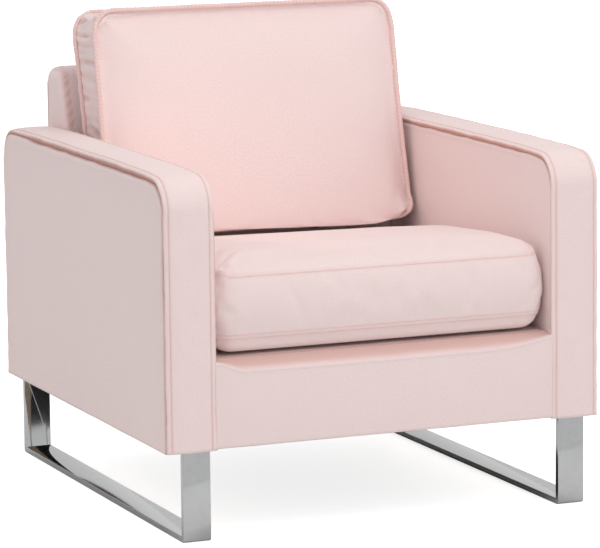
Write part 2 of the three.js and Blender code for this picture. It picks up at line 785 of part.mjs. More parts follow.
// Piping round a seam of the back cushion: a ring that hugs the cover's outside.
function welt(seamY) {
  const low = seamY(BACK_CUSHION_BOTTOM);
  const rise = BACK_CUSHION_TOP - BACK_CUSHION_BOTTOM;
  const tilt = Math.atan2(seamY(BACK_CUSHION_TOP) - low, rise);
  const halfWidth = backCushionHalf.x + WELT;
  const halfHeight = rise / 2 / Math.cos(tilt) + WELT;
  const ring = new THREE.Shape(weltLoop(halfWidth, halfHeight, WELT_CORNER));
  ring.holes.push(new THREE.Path(weltLoop(halfWidth - WELT_SINK, halfHeight - WELT_SINK, WELT_CORNER)));
  const geometry = extrude(ring, WELT).translate(0, 0, -WELT / 2);
  geometry.rotateX(Math.PI / 2 - tilt);
  geometry.translate(0, (low + seamY(BACK_CUSHION_TOP)) / 2, backCushionZ);
  return cut(geometry, backCushionSolid(-CLEARANCE));
}

const frontWeltY = (z) => frontSeamY(z) + WELT;
const rearWeltY = (z) => rearSeamY(z) - WELT;

// ---------------------------------------------------------------- assembly

const sides = { left: -1, right: 1 };
const ends = { front: -1, rear: 1 };

for (const [sideName, side] of Object.entries(sides)) {
  place(`${sideName}_sled_leg`, sledLeg(side), "chrome");
  place(`${sideName}_arm_band_cover`, bandCover(side), "cloth");
  place(`${sideName}_arm_outer_cover`, panelCover(side * sideX, side * (sideX - PADDING)), "cloth");
  place(`${sideName}_arm_inner_cover`, innerCover(side), "cloth");
  place(`${sideName}_arm_top_rail`, armTopRail(side), "timber");
  place(`${sideName}_arm_bottom_rail`, armBottomRail(side), "timber");
  place(`${sideName}_seat_rail`, sideRail(side), "timber");
  place(`${sideName}_back_panel`, backPanel(side), "timber");
  place(`${sideName}_back_strap`, backStrap((side * STRAP_SPACING) / 2), "webbing");
  for (const [endName, end] of Object.entries(ends)) {
    place(`${sideName}_arm_${endName}_post`, armPost(side, end), "timber");
    place(`${sideName}_${endName}_leg_screw`, legScrew(side, end), "steel");
    place(`${sideName}_${endName}_corner_block`, cornerBlock(side, end), "timber");
    place(`${sideName}_${endName}_arm_bolt`, armBolt(side, boltYs[(end + 1) / 2]), "steel");
  }
}

place("front_rail", frontRail(), "timber");
place("rear_rail", rearRail(), "timber");
place("spring_rail", springRail(), "timber");
place("back_top_rail", backRail(backTimberTop - BACK_RAIL_HEIGHT, backTimberTop), "timber");
place("back_lower_rail", backRail(coverFoot, coverFoot + BACK_RAIL_HEIGHT), "timber");
place("back_frame_cover", backFrameCover(), "cloth");
place("rear_cover", rearCover(), "cloth");

const springSpacing = (2 * sideRailInner) / SPRING_COUNT;
for (let i = 0; i < SPRING_COUNT; i++) {
  place(`seat_spring_${i + 1}`, zigzagSpring((i - (SPRING_COUNT - 1) / 2) * springSpacing), "steel");
}

place("deck_pad", deckPad(), "foam");
place("deck_cover", deckCover(), "cloth");
place("front_rail_cover", frontRailCover(), "cloth");
place("dust_cover", dustCover(), "lining");

place("seat_cushion_cover", seatCushionCover(), "cloth");
place("seat_cushion_core", seatCushionSolid(CUSHION_WALL + CLEARANCE), "foam");
place("seat_cushion_zip", seatZip(), "zip");
place("seat_cushion_zip_slider", seatZipSlider(), "steel");

place("back_cushion_cover", backCushionCover(), "cloth");
place("back_cushion_fill", backCushionSolid(CUSHION_WALL + CLEARANCE), "foam");
place("back_cushion_front_welt", welt(frontWeltY), "cloth");
place("back_cushion_rear_welt", welt(rearWeltY), "cloth");
place("back_cushion_zip", backZip(), "zip");
place("back_cushion_zip_slider", backZipSlider(), "steel");

export default chair;
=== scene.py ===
import json
import math

import bmesh
import bpy
from mathutils import Matrix, Vector, noise


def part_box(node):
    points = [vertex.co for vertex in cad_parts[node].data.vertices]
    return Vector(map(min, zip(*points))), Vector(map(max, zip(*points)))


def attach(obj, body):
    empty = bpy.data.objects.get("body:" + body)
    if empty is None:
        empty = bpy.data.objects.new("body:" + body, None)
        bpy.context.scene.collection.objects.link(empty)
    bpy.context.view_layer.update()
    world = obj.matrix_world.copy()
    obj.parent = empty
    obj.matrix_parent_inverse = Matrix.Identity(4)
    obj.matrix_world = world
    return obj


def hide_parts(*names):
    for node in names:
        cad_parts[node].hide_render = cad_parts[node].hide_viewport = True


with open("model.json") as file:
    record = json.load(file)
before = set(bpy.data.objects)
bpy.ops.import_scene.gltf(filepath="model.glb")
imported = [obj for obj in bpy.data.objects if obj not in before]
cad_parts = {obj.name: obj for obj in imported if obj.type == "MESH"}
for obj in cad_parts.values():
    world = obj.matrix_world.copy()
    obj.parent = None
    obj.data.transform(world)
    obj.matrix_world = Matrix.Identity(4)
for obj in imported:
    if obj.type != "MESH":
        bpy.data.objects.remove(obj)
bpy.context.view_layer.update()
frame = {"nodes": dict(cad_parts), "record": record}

MM = 0.001
AT_EDGE = 1 - 1e-6  # a lattice coordinate past this lies on the block's edge
# Painted shade laid into the cloth's colour along the seat cushion's seams.
SEAM_PAINTED_SHADE = 0.1
SIDES = {"left": -1, "right": 1}


def span(node):
    """Lowest and highest corner of a CAD node, in mm."""
    low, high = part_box(node)
    return Vector(low) / MM, Vector(high) / MM


# ---------------------------------------------------------------- camera, light and floor


CAMERA_TURN = (22.42, -8.92, -0.67)  # yaw, pitch and roll in degrees
CAMERA_PLACE = (-2.437, -5.947, 1.371)
CAMERA_LENS = 221.8
SKY_STRENGTH = 0.715
SKY_SEEN_EXTRA = 0.4
FLOOR_GLOW = 0.75


def make_camera():
    yaw, pitch, roll = (math.radians(angle) for angle in CAMERA_TURN)
    forward = Vector(
        (math.sin(yaw) * math.cos(pitch), math.cos(yaw) * math.cos(pitch), math.sin(pitch))
    )
    level = Vector((math.cos(yaw), -math.sin(yaw), 0))
    above = level.cross(forward)
    right = level * math.cos(roll) + above * math.sin(roll)
    up = above * math.cos(roll) - level * math.sin(roll)
    data = bpy.data.cameras.new("camera")
    data.lens = CAMERA_LENS
    data.sensor_width = 36
    data.clip_end = 60
    camera = bpy.data.objects.new("camera", data)
    turn = Matrix((right, up, -forward)).transposed().to_4x4()
    camera.matrix_world = Matrix.Translation(CAMERA_PLACE) @ turn
    bpy.context.scene.collection.objects.link(camera)
    bpy.context.scene.camera = camera


def area_light(name, place, target, size, power, tint):
    data = bpy.data.lights.new(name, "AREA")
    data.shape = "RECTANGLE"
    data.size = size[0]
    data.size_y = size[1]
    data.energy = power
    data.color = tint
    lamp = bpy.data.objects.new(name, data)
    lamp.location = place
    lamp.visible_camera = False
    lamp.visible_glossy = False
    lamp.rotation_mode = "QUATERNION"
    lamp.rotation_quaternion = (Vector(target) - Vector(place)).to_track_quat("-Z", "Y")
    bpy.context.scene.collection.objects.link(lamp)


def make_studio():
    scene = bpy.context.scene
    scene.view_settings.view_transform = "Standard"
    world = bpy.data.worlds.new("studio")
    world.use_nodes = True
    seen = world.node_tree.nodes.new("ShaderNodeLightPath").outputs["Is Camera Ray"]
    strength = math_node(world.node_tree, "MULTIPLY_ADD", seen, SKY_SEEN_EXTRA, SKY_STRENGTH)
    world.node_tree.links.new(strength, world.node_tree.nodes["Background"].inputs["Strength"])
    world.node_tree.nodes["Background"].inputs["Color"].default_value = (1, 1, 1, 1)
    scene.world = world
    area_light("key_light", (0.9, -2.1, 4.1), (0, 0, 0.45), (2.6, 2.2), 25, (1, 0.99, 0.98))
    area_light("front_light", (1.2, -4.2, 1.1), (0, 0, 0.45), (2.2, 1.8), 9, (1, 1, 1))
    area_light("bounce_light", (-0.2, -0.12, 0.6), (0.3, 0.16, 0.52), (0.42, 0.2), 0.11, (1, 0.5, 0.36))
    area_light("seat_light", (-0.2, -0.75, 2.0), (0.15, 0.05, 0.5), (0.7, 0.7), 4.5, (1, 0.93, 0.90))

    bm = bmesh.new()
    bmesh.ops.create_grid(bm, x_segments=8, y_segments=8, size=30)
    mesh = bpy.data.meshes.new("floor")
    bm.to_mesh(mesh)
    bm.free()
    floor = bpy.data.objects.new("floor", mesh)
    scene.collection.objects.link(floor)
    material = bpy.data.materials.new("pale_floor")
    material.use_nodes = True
    tree = material.node_tree
    shader = tree.nodes["Principled BSDF"]
    shader.inputs["Roughness"].default_value = 0.6
    shader.inputs["Emission Color"].default_value = (1, 1, 1, 1)
    path = tree.nodes.new("ShaderNodeLightPath")
    tree.links.new(
        math_node(tree, "MULTIPLY", path.outputs["Is Camera Ray"], FLOOR_GLOW),
        shader.inputs["Emission Strength"],
    )
    # Painted shadow: glossy rays see the floor under the chair nearly black, so the chrome reflects a
    # dark floor there; other rays see it pale.
    parts = add(tree, "ShaderNodeSeparateXYZ", i0=add(tree, "ShaderNodeTexCoord").outputs["Object"])
    reflected_painted_shadow = path.outputs["Is Glossy Ray"]
    for axis, inner, outer in ((0, 0.24, 0.42), (1, 0.30, 0.52)):
        off = math_node(tree, "ABSOLUTE", parts.outputs[axis])
        near = add(
            tree, "ShaderNodeMapRange", None, i0=off, i1=inner, i2=outer, i3=1.0, i4=0.0
        ).outputs[0]
        reflected_painted_shadow = math_node(tree, "MULTIPLY", reflected_painted_shadow, near)
    shade = add(
        tree,
        "ShaderNodeMix",
        {"data_type": "RGBA"},
        i0=reflected_painted_shadow,
        i6=(0.93, 0.93, 0.93, 1),
        i7=(0.02, 0.02, 0.02, 1),
    )
    tree.links.new(shade.outputs[2], shader.inputs["Base Color"])
    mesh.materials.append(material)
    floor.location.z = -0.0005


# ---------------------------------------------------------------- finishes


def new_group(name, inputs, outputs):
    tree = bpy.data.node_groups.new(name, "ShaderNodeTree")
    for label, kind, value in inputs:
        socket = tree.interface.new_socket(label, in_out="INPUT", socket_type=kind)
        if value is not None:
            socket.default_value = value
    for label, kind in outputs:
        tree.interface.new_socket(label, in_out="OUTPUT", socket_type=kind)
    return tree, tree.nodes.new("NodeGroupInput"), tree.nodes.new("NodeGroupOutput")


def add(tree, kind, settings=None, **values):
    """A node with its properties and its sockets' values or links set."""
    node = tree.nodes.new(kind)
    for key, value in (settings or {}).items():
        setattr(node, key, value)
    for key, value in values.items():
        socket = node.inputs[int(key[1:])] if key[0] == "i" and key[1:].isdigit() else node.inputs[
            key.replace("_", " ")
        ]
        if isinstance(value, bpy.types.NodeSocket):
            tree.links.new(value, socket)
        else:
            socket.default_value = value
    return node


def math_node(tree, operation, a, b=0.0, c=0.0):
    return add(tree, "ShaderNodeMath", {"operation": operation}, i0=a, i1=b, i2=c).outputs[0]


def weave_group():
    """Plain-woven cloth: crossed threads with slubs. Reads a vector in metres."""
    tree, entry, leave = new_group(
        "woven_cloth",
        [("Vector", "NodeSocketVector", None), ("Thread", "NodeSocketFloat", 0.0009)],
        [("Shade", "NodeSocketFloat"), ("Height", "NodeSocketFloat")],
    )
    parts = add(tree, "ShaderNodeSeparateXYZ", i0=entry.outputs["Vector"])
    waves = []
    for axis in (0, 1):
        turns = math_node(tree, "DIVIDE", parts.outputs[axis], entry.outputs["Thread"])
        waves.append(math_node(tree, "SINE", math_node(tree, "MULTIPLY", turns, math.pi)))
    weave = math_node(tree, "MULTIPLY_ADD", math_node(tree, "MULTIPLY", waves[0], waves[1]), 0.5, 0.5)
    slubs = []
    for stretch in ((30, 700, 1), (700, 30, 1)):
        stretched = add(
            tree,
            "ShaderNodeVectorMath",
            {"operation": "MULTIPLY"},
            i0=entry.outputs["Vector"],
            i1=stretch,
        )
        streaks = add(
            tree, "ShaderNodeTexNoise", None, Vector=stretched.outputs[0], Scale=1.0, Detail=2.0
        )
        slubs.append(streaks.outputs[0])
    slub = math_node(tree, "ADD", slubs[0], slubs[1])
    cloud = add(
        tree, "ShaderNodeTexNoise", None, Vector=entry.outputs["Vector"], Scale=9.0, Detail=3.0
    ).outputs[0]
    fleck = add(
        tree, "ShaderNodeTexNoise", None, Vector=entry.outputs["Vector"], Scale=430.0, Detail=1.0
    ).outputs[0]
    shade = math_node(tree, "MULTIPLY_ADD", slub, 0.35, math_node(tree, "MULTIPLY", weave, 0.2))
    shade = math_node(tree, "MULTIPLY_ADD", cloud, 0.25, shade)
    shade = math_node(tree, "MULTIPLY_ADD", math_node(tree, "SUBTRACT", fleck, 0.5), 2.2, shade)
    height = math_node(tree, "MULTIPLY_ADD", slub, 0.5, weave)
    tree.links.new(shade, leave.inputs["Shade"])
    tree.links.new(height, leave.inputs["Height"])
    return tree


def grain_group():
    """Sawn softwood: long fibres and darker growth rings. Reads a vector in metres."""
    tree, entry, leave = new_group(
        "wood_grain",
        [("Vector", "NodeSocketVector", None)],
        [("Shade", "NodeSocketFloat"), ("Height", "NodeSocketFloat")],
    )
    along = add(
        tree,
        "ShaderNodeVectorMath",
        {"operation": "MULTIPLY"},
        i0=entry.outputs["Vector"],
        i1=(3, 60, 60),
    )
    bend = add(
        tree, "ShaderNodeTexNoise", None, Vector=along.outputs[0], Scale=0.6, Detail=3.0
    ).outputs[0]
    fibre = add(
        tree, "ShaderNodeTexNoise", None, Vector=along.outputs[0], Scale=9.0, Detail=4.0
    ).outputs[0]
    rings = math_node(tree, "SINE", math_node(tree, "MULTIPLY", bend, 38.0))
    shade = math_node(tree, "MULTIPLY_ADD", rings, 0.25, math_node(tree, "MULTIPLY", fibre, 0.9))
    tree.links.new(shade, leave.inputs["Shade"])
    tree.links.new(fibre, leave.inputs["Height"])
    return tree


def speckle_group():
    """Fine pits or specks of a given size. Reads a vector in metres."""
    tree, entry, leave = new_group(
        "speckle",
        [("Vector", "NodeSocketVector", None), ("Scale", "NodeSocketFloat", 400.0)],
        [("Shade", "NodeSocketFloat"), ("Height", "NodeSocketFloat")],
    )
    cells = add(
        tree, "ShaderNodeTexVoronoi", None, Vector=entry.outputs["Vector"], Scale=entry.outputs["Scale"]
    ).outputs["Distance"]
    cloud = add(
        tree, "ShaderNodeTexNoise", None, Vector=entry.outputs["Vector"], Scale=14.0, Detail=3.0
    ).outputs[0]
    tree.links.new(
        math_node(tree, "MULTIPLY_ADD", cells, 0.5, math_node(tree, "MULTIPLY", cloud, 0.6)),
        leave.inputs[0],
    )
    tree.links.new(cells, leave.inputs[1])
    return tree


# Painted shade: the salmon colour that the cloth deepens towards in grooves, seams and folds, standing
# in for their shade.
PAINTED_SHADE_TINT = (0.66, 0.36, 0.30)


def finish_material(
    name, group, light, dark, rough, bump, depth, uv=False, metallic=0.0, values=None, **sockets
):
    """A material whose colour, roughness and bump follow one of the pattern groups."""
    material = bpy.data.materials.new(name)
    material.use_nodes = True
    tree = material.node_tree
    shader = tree.nodes["Principled BSDF"]
    shader.inputs["Metallic"].default_value = metallic
    for key, value in sockets.items():
        shader.inputs[key.replace("_", " ")].default_value = value
    if uv:
        vector = add(tree, "ShaderNodeUVMap", {"uv_map": "cloth"}).outputs[0]
    else:
        vector = add(tree, "ShaderNodeTexCoord").outputs["Object"]
    pattern = tree.nodes.new("ShaderNodeGroup")
    pattern.node_tree = group
    tree.links.new(vector, pattern.inputs["Vector"])
    for key, value in (values or {}).items():
        pattern.inputs[key].default_value = value
    tint = add(tree, "ShaderNodeMix", {"data_type": "RGBA"})
    tree.links.new(pattern.outputs["Shade"], tint.inputs[0])
    tint.inputs[6].default_value = (*dark, 1)
    tint.inputs[7].default_value = (*light, 1)
    colour = tint.outputs[2]
    # Cloth with a UV map also takes painted shade: its colour moves towards the salmon tint by the
    # mesh's painted-shade amount.
    if uv:
        painted_shade = add(tree, "ShaderNodeAttribute", {"attribute_name": "painted_shade"}).outputs["Fac"]
        shaded_colour = add(
            tree, "ShaderNodeMix", {"data_type": "RGBA"}, i0=painted_shade, i6=colour, i7=(*PAINTED_SHADE_TINT, 1)
        )
        colour = shaded_colour.outputs[2]
    tree.links.new(colour, shader.inputs["Base Color"])
    spread = add(tree, "ShaderNodeMapRange", None, i3=rough[0], i4=rough[1])
    tree.links.new(pattern.outputs["Shade"], spread.inputs[0])
    tree.links.new(spread.outputs[0], shader.inputs["Roughness"])
    relief = add(
        tree, "ShaderNodeBump", None, Strength=bump, Distance=depth, Height=pattern.outputs["Height"]
    )
    tree.links.new(relief.outputs[0], shader.inputs["Normal"])
    return material


def make_materials():
    weave, grain, speckle = weave_group(), grain_group(), speckle_group()
    cloth = {"uv": True, "Sheen_Weight": 0.22, "Sheen_Roughness": 0.5, "Specular_IOR_Level": 0.25}
    pink, deep = (0.905, 0.764, 0.752), (0.86, 0.687, 0.67)
    made = {
        "upholstery_cloth": finish_material(
            "pale_pink_cloth", weave, pink, deep, (0.95, 0.8), 0.35, 0.0004, **cloth
        ),
        "cushion_cloth": finish_material(
            "pale_pink_cushion_cloth", weave, pink, deep, (0.95, 0.8), 0.35, 0.0004, **cloth
        ),
        "piping": finish_material(
            "pale_pink_piping", weave, (0.91, 0.70, 0.68), (
                0.86, 0.62, 0.595
            ), (0.95, 0.8), 0.4, 0.0004, **cloth
        ),
        "thread": finish_material(
            "pink_thread", speckle, (0.90, 0.56, 0.53), (0.84, 0.47, 0.44), (0.7, 0.5), 0.2, 0.0002,
            values={"Scale": 1500.0},
        ),
        "chrome": finish_material(
            "polished_chrome", speckle, (0.60, 0.605, 0.61), (
                0.54, 0.545, 0.55
            ), (0.05, 0.1), 0.02, 0.0001,
            metallic=1.0, values={"Scale": 90.0},
        ),
        "steel": finish_material(
            "bright_steel", speckle, (0.55, 0.56, 0.58), (
                0.42, 0.43, 0.45
            ), (0.3, 0.42), 0.1, 0.0002, metallic=1.0
        ),
        "timber": finish_material(
            "sawn_pine", grain, (0.80, 0.66, 0.46), (0.6, 0.44, 0.26), (0.7, 0.55), 0.3, 0.0006
        ),
        "foam": finish_material(
            "cream_foam", speckle, (0.93, 0.88, 0.74), (0.82, 0.75, 0.6), (0.95, 0.85), 0.5, 0.0008,
            values={"Scale": 600.0},
        ),
        "webbing": finish_material(
            "brown_webbing", weave, (0.38, 0.31, 0.24), (0.22, 0.17, 0.13), (0.9, 0.8), 0.6, 0.0008,
            values={"Thread": 0.0025},
        ),
        "lining": finish_material(
            "black_lining", speckle, (0.045, 0.045, 0.05), (
                0.02, 0.02, 0.022
            ), (0.9, 0.75), 0.3, 0.0003,
            values={"Scale": 900.0},
        ),
        "zip_tape": finish_material(
            "pink_zip_tape", weave, (0.86, 0.7, 0.68), (0.76, 0.58, 0.56), (0.85, 0.7), 0.5, 0.0005,
            uv=True, values={"Thread": 0.0008},
        ),
        "zip_metal": finish_material(
            "dull_zip_metal", speckle, (0.66, 0.64, 0.61), (
                0.5, 0.48, 0.45
            ), (0.32, 0.45), 0.1, 0.0002, metallic=1.0
        ),
    }
    return made


# ---------------------------------------------------------------- shaping helpers


def smooth(t):
    t = min(1.0, max(0.0, t))
    return t * t * (3 - 2 * t)


def ripple(x, y, z, seed=0.0):
    """Gentle unevenness from -1 to 1."""
    return noise.noise(Vector((x, y, z + seed)))


def arch(s, start, end, foot, top, radius):
    """The point and outward direction s of the way over an arch, from one foot to the other."""
    rise = top - foot - radius
    bend = radius * math.pi / 2
    run = end - start - 2 * radius
    d = s * (2 * (rise + bend) + run)
    if d < rise:
        return (start, foot + d), (-1.0, 0.0)
    d -= rise
    if d < bend:
        turn = d / radius
        c, n = math.cos(turn), math.sin(turn)
        return (start + radius - radius * c, top - radius + radius * n), (-c, n)
    d -= bend
    if d < run:
        return (start + radius + d, top), (0.0, 1.0)
    d -= run
    if d < bend:
        turn = d / radius
        c, n = math.cos(turn), math.sin(turn)
        return (end - radius + radius * n, top - radius + radius * c), (n, c)
    return (end, top - radius - (d - bend)), (1.0, 0.0)


def loop_point(s, half_x, half_y, radius):
    """The point and outward direction s of the way round a rectangle with round corners."""
    sides = [2 * (half_y - radius), 2 * (half_x - radius)] * 2
    bend = radius * math.pi / 2
    d = (s % 1.0) * (sum(sides) + 4 * bend)
    corner = [(half_x, half_y), (-half_x, half_y), (-half_x, -half_y), (half_x, -half_y)]
    for k in range(4):
        out = Vector((math.cos(k * math.pi / 2), math.sin(k * math.pi / 2)))
        ahead = Vector((-out.y, out.x))
        cx, cy = corner[k]
        middle = Vector((cx - math.copysign(radius, cx), cy - math.copysign(radius, cy)))
        if d < sides[k]:
            return middle + out * radius - ahead * (sides[k] - d), out
        d -= sides[k]
        if d < bend:
            turn = d / radius
            direction = out * math.cos(turn) + ahead * math.sin(turn)
            return middle + direction * radius, direction
        d -= bend
    return middle + out * radius, out


def sheet_of(columns, rows, place, width, length):
    """A sheet of quads shaped by place(u, v), in mm, with the cloth's own UV map in metres.

    place gives a point, or a point and how much painted shade it gets in the cloth's colour, from 0 to
    1.
    """
    bm = bmesh.new()
    uv = bm.loops.layers.uv.new("cloth")
    painted_shade = bm.verts.layers.float.new("painted_shade")
    bmesh.ops.create_grid(bm, x_segments=columns, y_segments=rows, size=0.5)
    where = {
        v.index: (min(1.0, max(0.0, v.co.x + 0.5)), min(1.0, max(0.0, v.co.y + 0.5))) for v in bm.verts
    }
    for face in bm.faces:
        for corner in face.loops:
            u, v = where[corner.vert.index]
            corner[uv].uv = (u * width * MM, v * length * MM)
    for v in bm.verts:
        placed = place(*where[v.index])
        if isinstance(placed, tuple):
            v.co, v[painted_shade] = placed
        else:
            v.co = placed
    return bm


def weld(bm, distance=0.02):
    bmesh.ops.remove_doubles(bm, verts=bm.verts, dist=distance)


def close_ends(bm):
    bmesh.ops.holes_fill(bm, edges=[e for e in bm.edges if e.is_boundary], sides=0)


def thicken(bm, thickness):
    bmesh.ops.recalc_face_normals(bm, faces=bm.faces)
    bmesh.ops.solidify(bm, geom=bm.faces[:], thickness=thickness)


def add_piece(name, bm, body, material, replaced=(), flat_faces=False):
    """Turns a bmesh in mm into a finished piece in metres that rides on a body."""
    bmesh.ops.recalc_face_normals(bm, faces=bm.faces)
    bmesh.ops.scale(bm, vec=(MM, MM, MM), verts=bm.verts)
    mesh = bpy.data.meshes.new(name)
    bm.to_mesh(mesh)
    bm.free()
    for polygon in mesh.polygons:
        polygon.use_smooth = not flat_faces
    piece = bpy.data.objects.new(name, mesh)
    bpy.context.scene.collection.objects.link(piece)
    mesh.materials.append(material)
    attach(piece, body)
    if replaced:
        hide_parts(*replaced)
    return piece


def rows_of(points, pitch):
    """Evenly spaced (point, forward, outward) along a row of (point, outward)."""
    spaced, due = [], pitch / 2
    travelled = 0.0
    for (a, out), (b, _) in zip(points, points[1:]):
        step = (b - a).length
        while step and travelled + step >= due:
            share = (due - travelled) / step
            spaced.append((a.lerp(b, share), (b - a).normalized(), out))
            due += pitch
        travelled += step
    return spaced


def add_stitches(name, rows, body, materials, pitch=4.6, length=3.2, width=1.4):
    """Short stitches of thread half sunk along each row, made a few at a time and then gathered."""
    places = []
    for row in rows:
        for point, ahead, out in rows_of(row, pitch):
            across = ahead.cross(out).normalized()
            up = across.cross(ahead).normalized()
            turn = Matrix((ahead * length / 2, across * width / 2, up * 0.75)).transposed().to_4x4()
            places.append(Matrix.Translation(point + up * 0.15) @ turn)
    gathered = bmesh.new()
    for first in range(0, len(places), 24):
        few = bmesh.new()
        for place in places[first : first + 24]:
            bmesh.ops.create_uvsphere(few, u_segments=6, v_segments=4, radius=1, matrix=place)
        mesh = bpy.data.meshes.new("few_stitches")
        few.to_mesh(mesh)
        few.free()
        gathered.from_mesh(mesh)
        bpy.data.meshes.remove(mesh)
    return add_piece(name, gathered, body, materials["thread"])


def bevelled_copy(node, width, segments=2):
    """A CAD node's shape with its doubles merged and its sharp edges rounded, in mm."""
    bm = bmesh.new()
    bm.from_mesh(frame["nodes"][node].data)
    bmesh.ops.scale(bm, vec=(1 / MM, 1 / MM, 1 / MM), verts=bm.verts)
    weld(bm, 0.01)
    bmesh.ops.dissolve_limit(bm, angle_limit=math.radians(1), verts=bm.verts, edges=bm.edges)
    sharp = [e for e in bm.edges if len(e.link_faces) == 2 and e.calc_face_angle() > math.radians(35)]
    bmesh.ops.bevel(
        bm,
        geom=sharp,
        offset=width,
        offset_type="OFFSET",
        segments=segments,
        profile=0.5,
        affect="EDGES",
        material=-1,
        clamp_overlap=True,
    )
    bm.loops.layers.uv.new("cloth")
    return bm


# ---------------------------------------------------------------- arms

arm_low, arm_high = span("right_arm_band_cover")
ARM_CORNER = 48
ARM_HALF = (arm_high.x - arm_low.x) / 2
ARM_MIDDLE = (arm_high.x + arm_low.x) / 2
FOOT = arm_low.z
ARM_TOP = arm_high.z
FRONT, REAR = arm_low.y, arm_high.y
LIP = 3.4
STITCH_IN = 7.0


def droop(y, z):
    """How far an arm's top sinks towards its ends."""
    front, rear = y - FRONT, REAR - y
    down = 9 * math.exp(-abs(front) / 62) + 6 * math.exp(-abs(rear) / 60)
    return down * smooth((z - 440) / 160)


def band_section(t):
    """Section of the arm's band: the offset across the arm and how far it stands out."""
    edge = ARM_HALF - LIP + 0.8
    step = t * 72
    if step <= 36:
        x = edge * math.sin((step / 36 - 0.5) * math.pi)
        rise = 0.4 + 3.0 * (1 - abs(x / edge) ** 3)
        return x, rise - 1.2 * math.exp(-(((abs(x) - (ARM_HALF - STITCH_IN)) / 1.4) ** 2))
    if step <= 46:
        turn = (step - 36) / 10 * math.pi
        return edge + LIP * math.sin(turn), -3.2 + 3.6 * math.cos(turn)
    if step <= 62:
        return edge * (1 - 2 * (step - 46) / 16), -7.5 if step in (46, 62) else -11.4
    turn = (step - 62) / 10 * math.pi
    return -edge - LIP * math.sin(turn), -3.2 - 3.6 * math.cos(turn)


def on_band(side, s, across, out):
    """A point of the arm's band from the way along it, the offset across it and the offset outwards."""
    (y, z), (ny, nz) = arch(s, FRONT, REAR, FOOT, ARM_TOP, ARM_CORNER)
    shown = 1 if out > -9 else 0
    soft = 0.9 * ripple(y / 45, z / 45, across / 30, side * 7) + 0.5 * ripple(
        y / 14, z / 14, across / 12, side * 3
    )
    wander = 1.1 * ripple(y / 60, z / 60, math.copysign(2, across), side * 5)
    wander += 0.45 * ripple(y / 12, z / 12, math.copysign(2, across), side * 6)
    pinch = smooth((abs(across) - ARM_HALF + 9) / 6)
    across += shown * pinch * (math.copysign(0.6, across) + wander)
    out = out + shown * soft
    point = Vector((side * (ARM_MIDDLE + across), y + ny * out, z + nz * out))
    point.z -= droop(point.y, point.z)
    return point


def make_arm(name, side, materials):
    length = 2 * (ARM_TOP - FOOT) + REAR - FRONT
    cloth = materials["upholstery_cloth"]

    def band(u, v):
        across, out = band_section(v)
        point = on_band(side, u, across, out)
        # Painted shade: the cloth darkens where the band turns in under its lip, and a little along the
        # stitch lines.
        seam = smooth((-out - 0.5) / 5)
        seam += 0.18 * math.exp(-(((abs(across) - (ARM_HALF - STITCH_IN)) / 1.3) ** 2)) * (out > 0)
        return point, min(1.0, seam)

    bm = sheet_of(320, 72, band, length, 2 * 96)
    weld(bm)
    close_ends(bm)
    add_piece(f"{name}_arm_band", bm, "chair", cloth, [f"{name}_arm_band_cover"])

    rows = []
    for across in (-(ARM_HALF - STITCH_IN), ARM_HALF - STITCH_IN):
        row = []
        for k in range(801):
            s = 0.002 + 0.996 * k / 800
            (y, z), (ny, nz) = arch(s, FRONT, REAR, FOOT, ARM_TOP, ARM_CORNER)
            row.append((on_band(side, s, across, 0.75), Vector((0, ny, nz))))
        rows.append(row)
    add_stitches(f"{name}_arm_stitching", rows, "chair", materials)

    for face, outward, inset in (("outer", side, 10.5), ("inner", -side, 8.2)):
        top = ARM_TOP - inset
        reach = (REAR - FRONT) / 2 - inset
        corner = ARM_CORNER - inset

        def panel(u, v, outward=outward, top=top, reach=reach, corner=corner):
            z = FOOT + (top - FOOT) * (1 - (1 - v) ** 1.5)
            over = max(0.0, z - (top - corner))
            half = reach - (corner - math.sqrt(max(0.0, corner * corner - over * over)))
            a = 2 * u - 1
            a = 1.5 * a - 0.5 * a**3
            y = a * half
            gap = min(reach - abs(y), top - z)
            if abs(y) > reach - corner and over > 0:
                gap = corner - math.hypot(abs(y) - reach + corner, over)
            open_ = smooth((z - 535) / 40)
            y *= 1 + 6 * (1 - open_) / half
            broad = 5.4 if outward == side else 2.6
            broad *= 0.3 + 0.7 * smooth((360 - y) / 170)
            width = (broad + 2.0 * ripple(y / 50, z / 50, outward * 5)) * open_ - 2.2
            closed = 1 - smooth((gap - width) / 1.9)
            sink = (1.4 + 8.6 * open_) * closed
            sink -= 0.9 * open_ * math.exp(-(((gap - width - 5) / 3.5) ** 2))
            fill = 1.6 * (1 - a * a) * math.sin(math.pi * v)
            soft = 0.8 * ripple(y / 120, z / 120, outward * 3) + 0.35 * ripple(
                y / 30, z / 50, outward * 9
            )
            tug = math.exp(-gap / 16) * 0.7 * ripple(y / 16, z / 16, outward * 11)
            hem = 0.3 * math.exp(-(((z - FOOT - 9) / 2.0) ** 2))
            x = side * ARM_MIDDLE + outward * (ARM_HALF - sink + fill + soft + tug - hem)
            # Painted shade in the groove between the panel and the band's lip, and a light line of it
            # along the panel's edge low down.
            edge_painted_shade = 0.6 * (1 - open_) * math.exp(-(((gap - 1) / 1.8) ** 2))
            groove_painted_shade = closed * (0.4 + 0.6 * open_ * smooth((400 - y) / 120))
            return Vector((x, y, z - droop(y, z))), min(1.0, groove_painted_shade + edge_painted_shade)

        bm = sheet_of(150, 128, panel, REAR - FRONT, ARM_TOP - FOOT)
        thicken(bm, 3)
        add_piece(
            f"{name}_arm_{face}_panel", bm, "chair", cloth, [
                f"{name}_arm_{face}_cover"
            ]
        )


# ---------------------------------------------------------------- front rail, deck, rear and underside

rail_low, rail_high = span("front_rail_cover")
BETWEEN_ARMS = rail_high.x
LIP_HEIGHT = 279


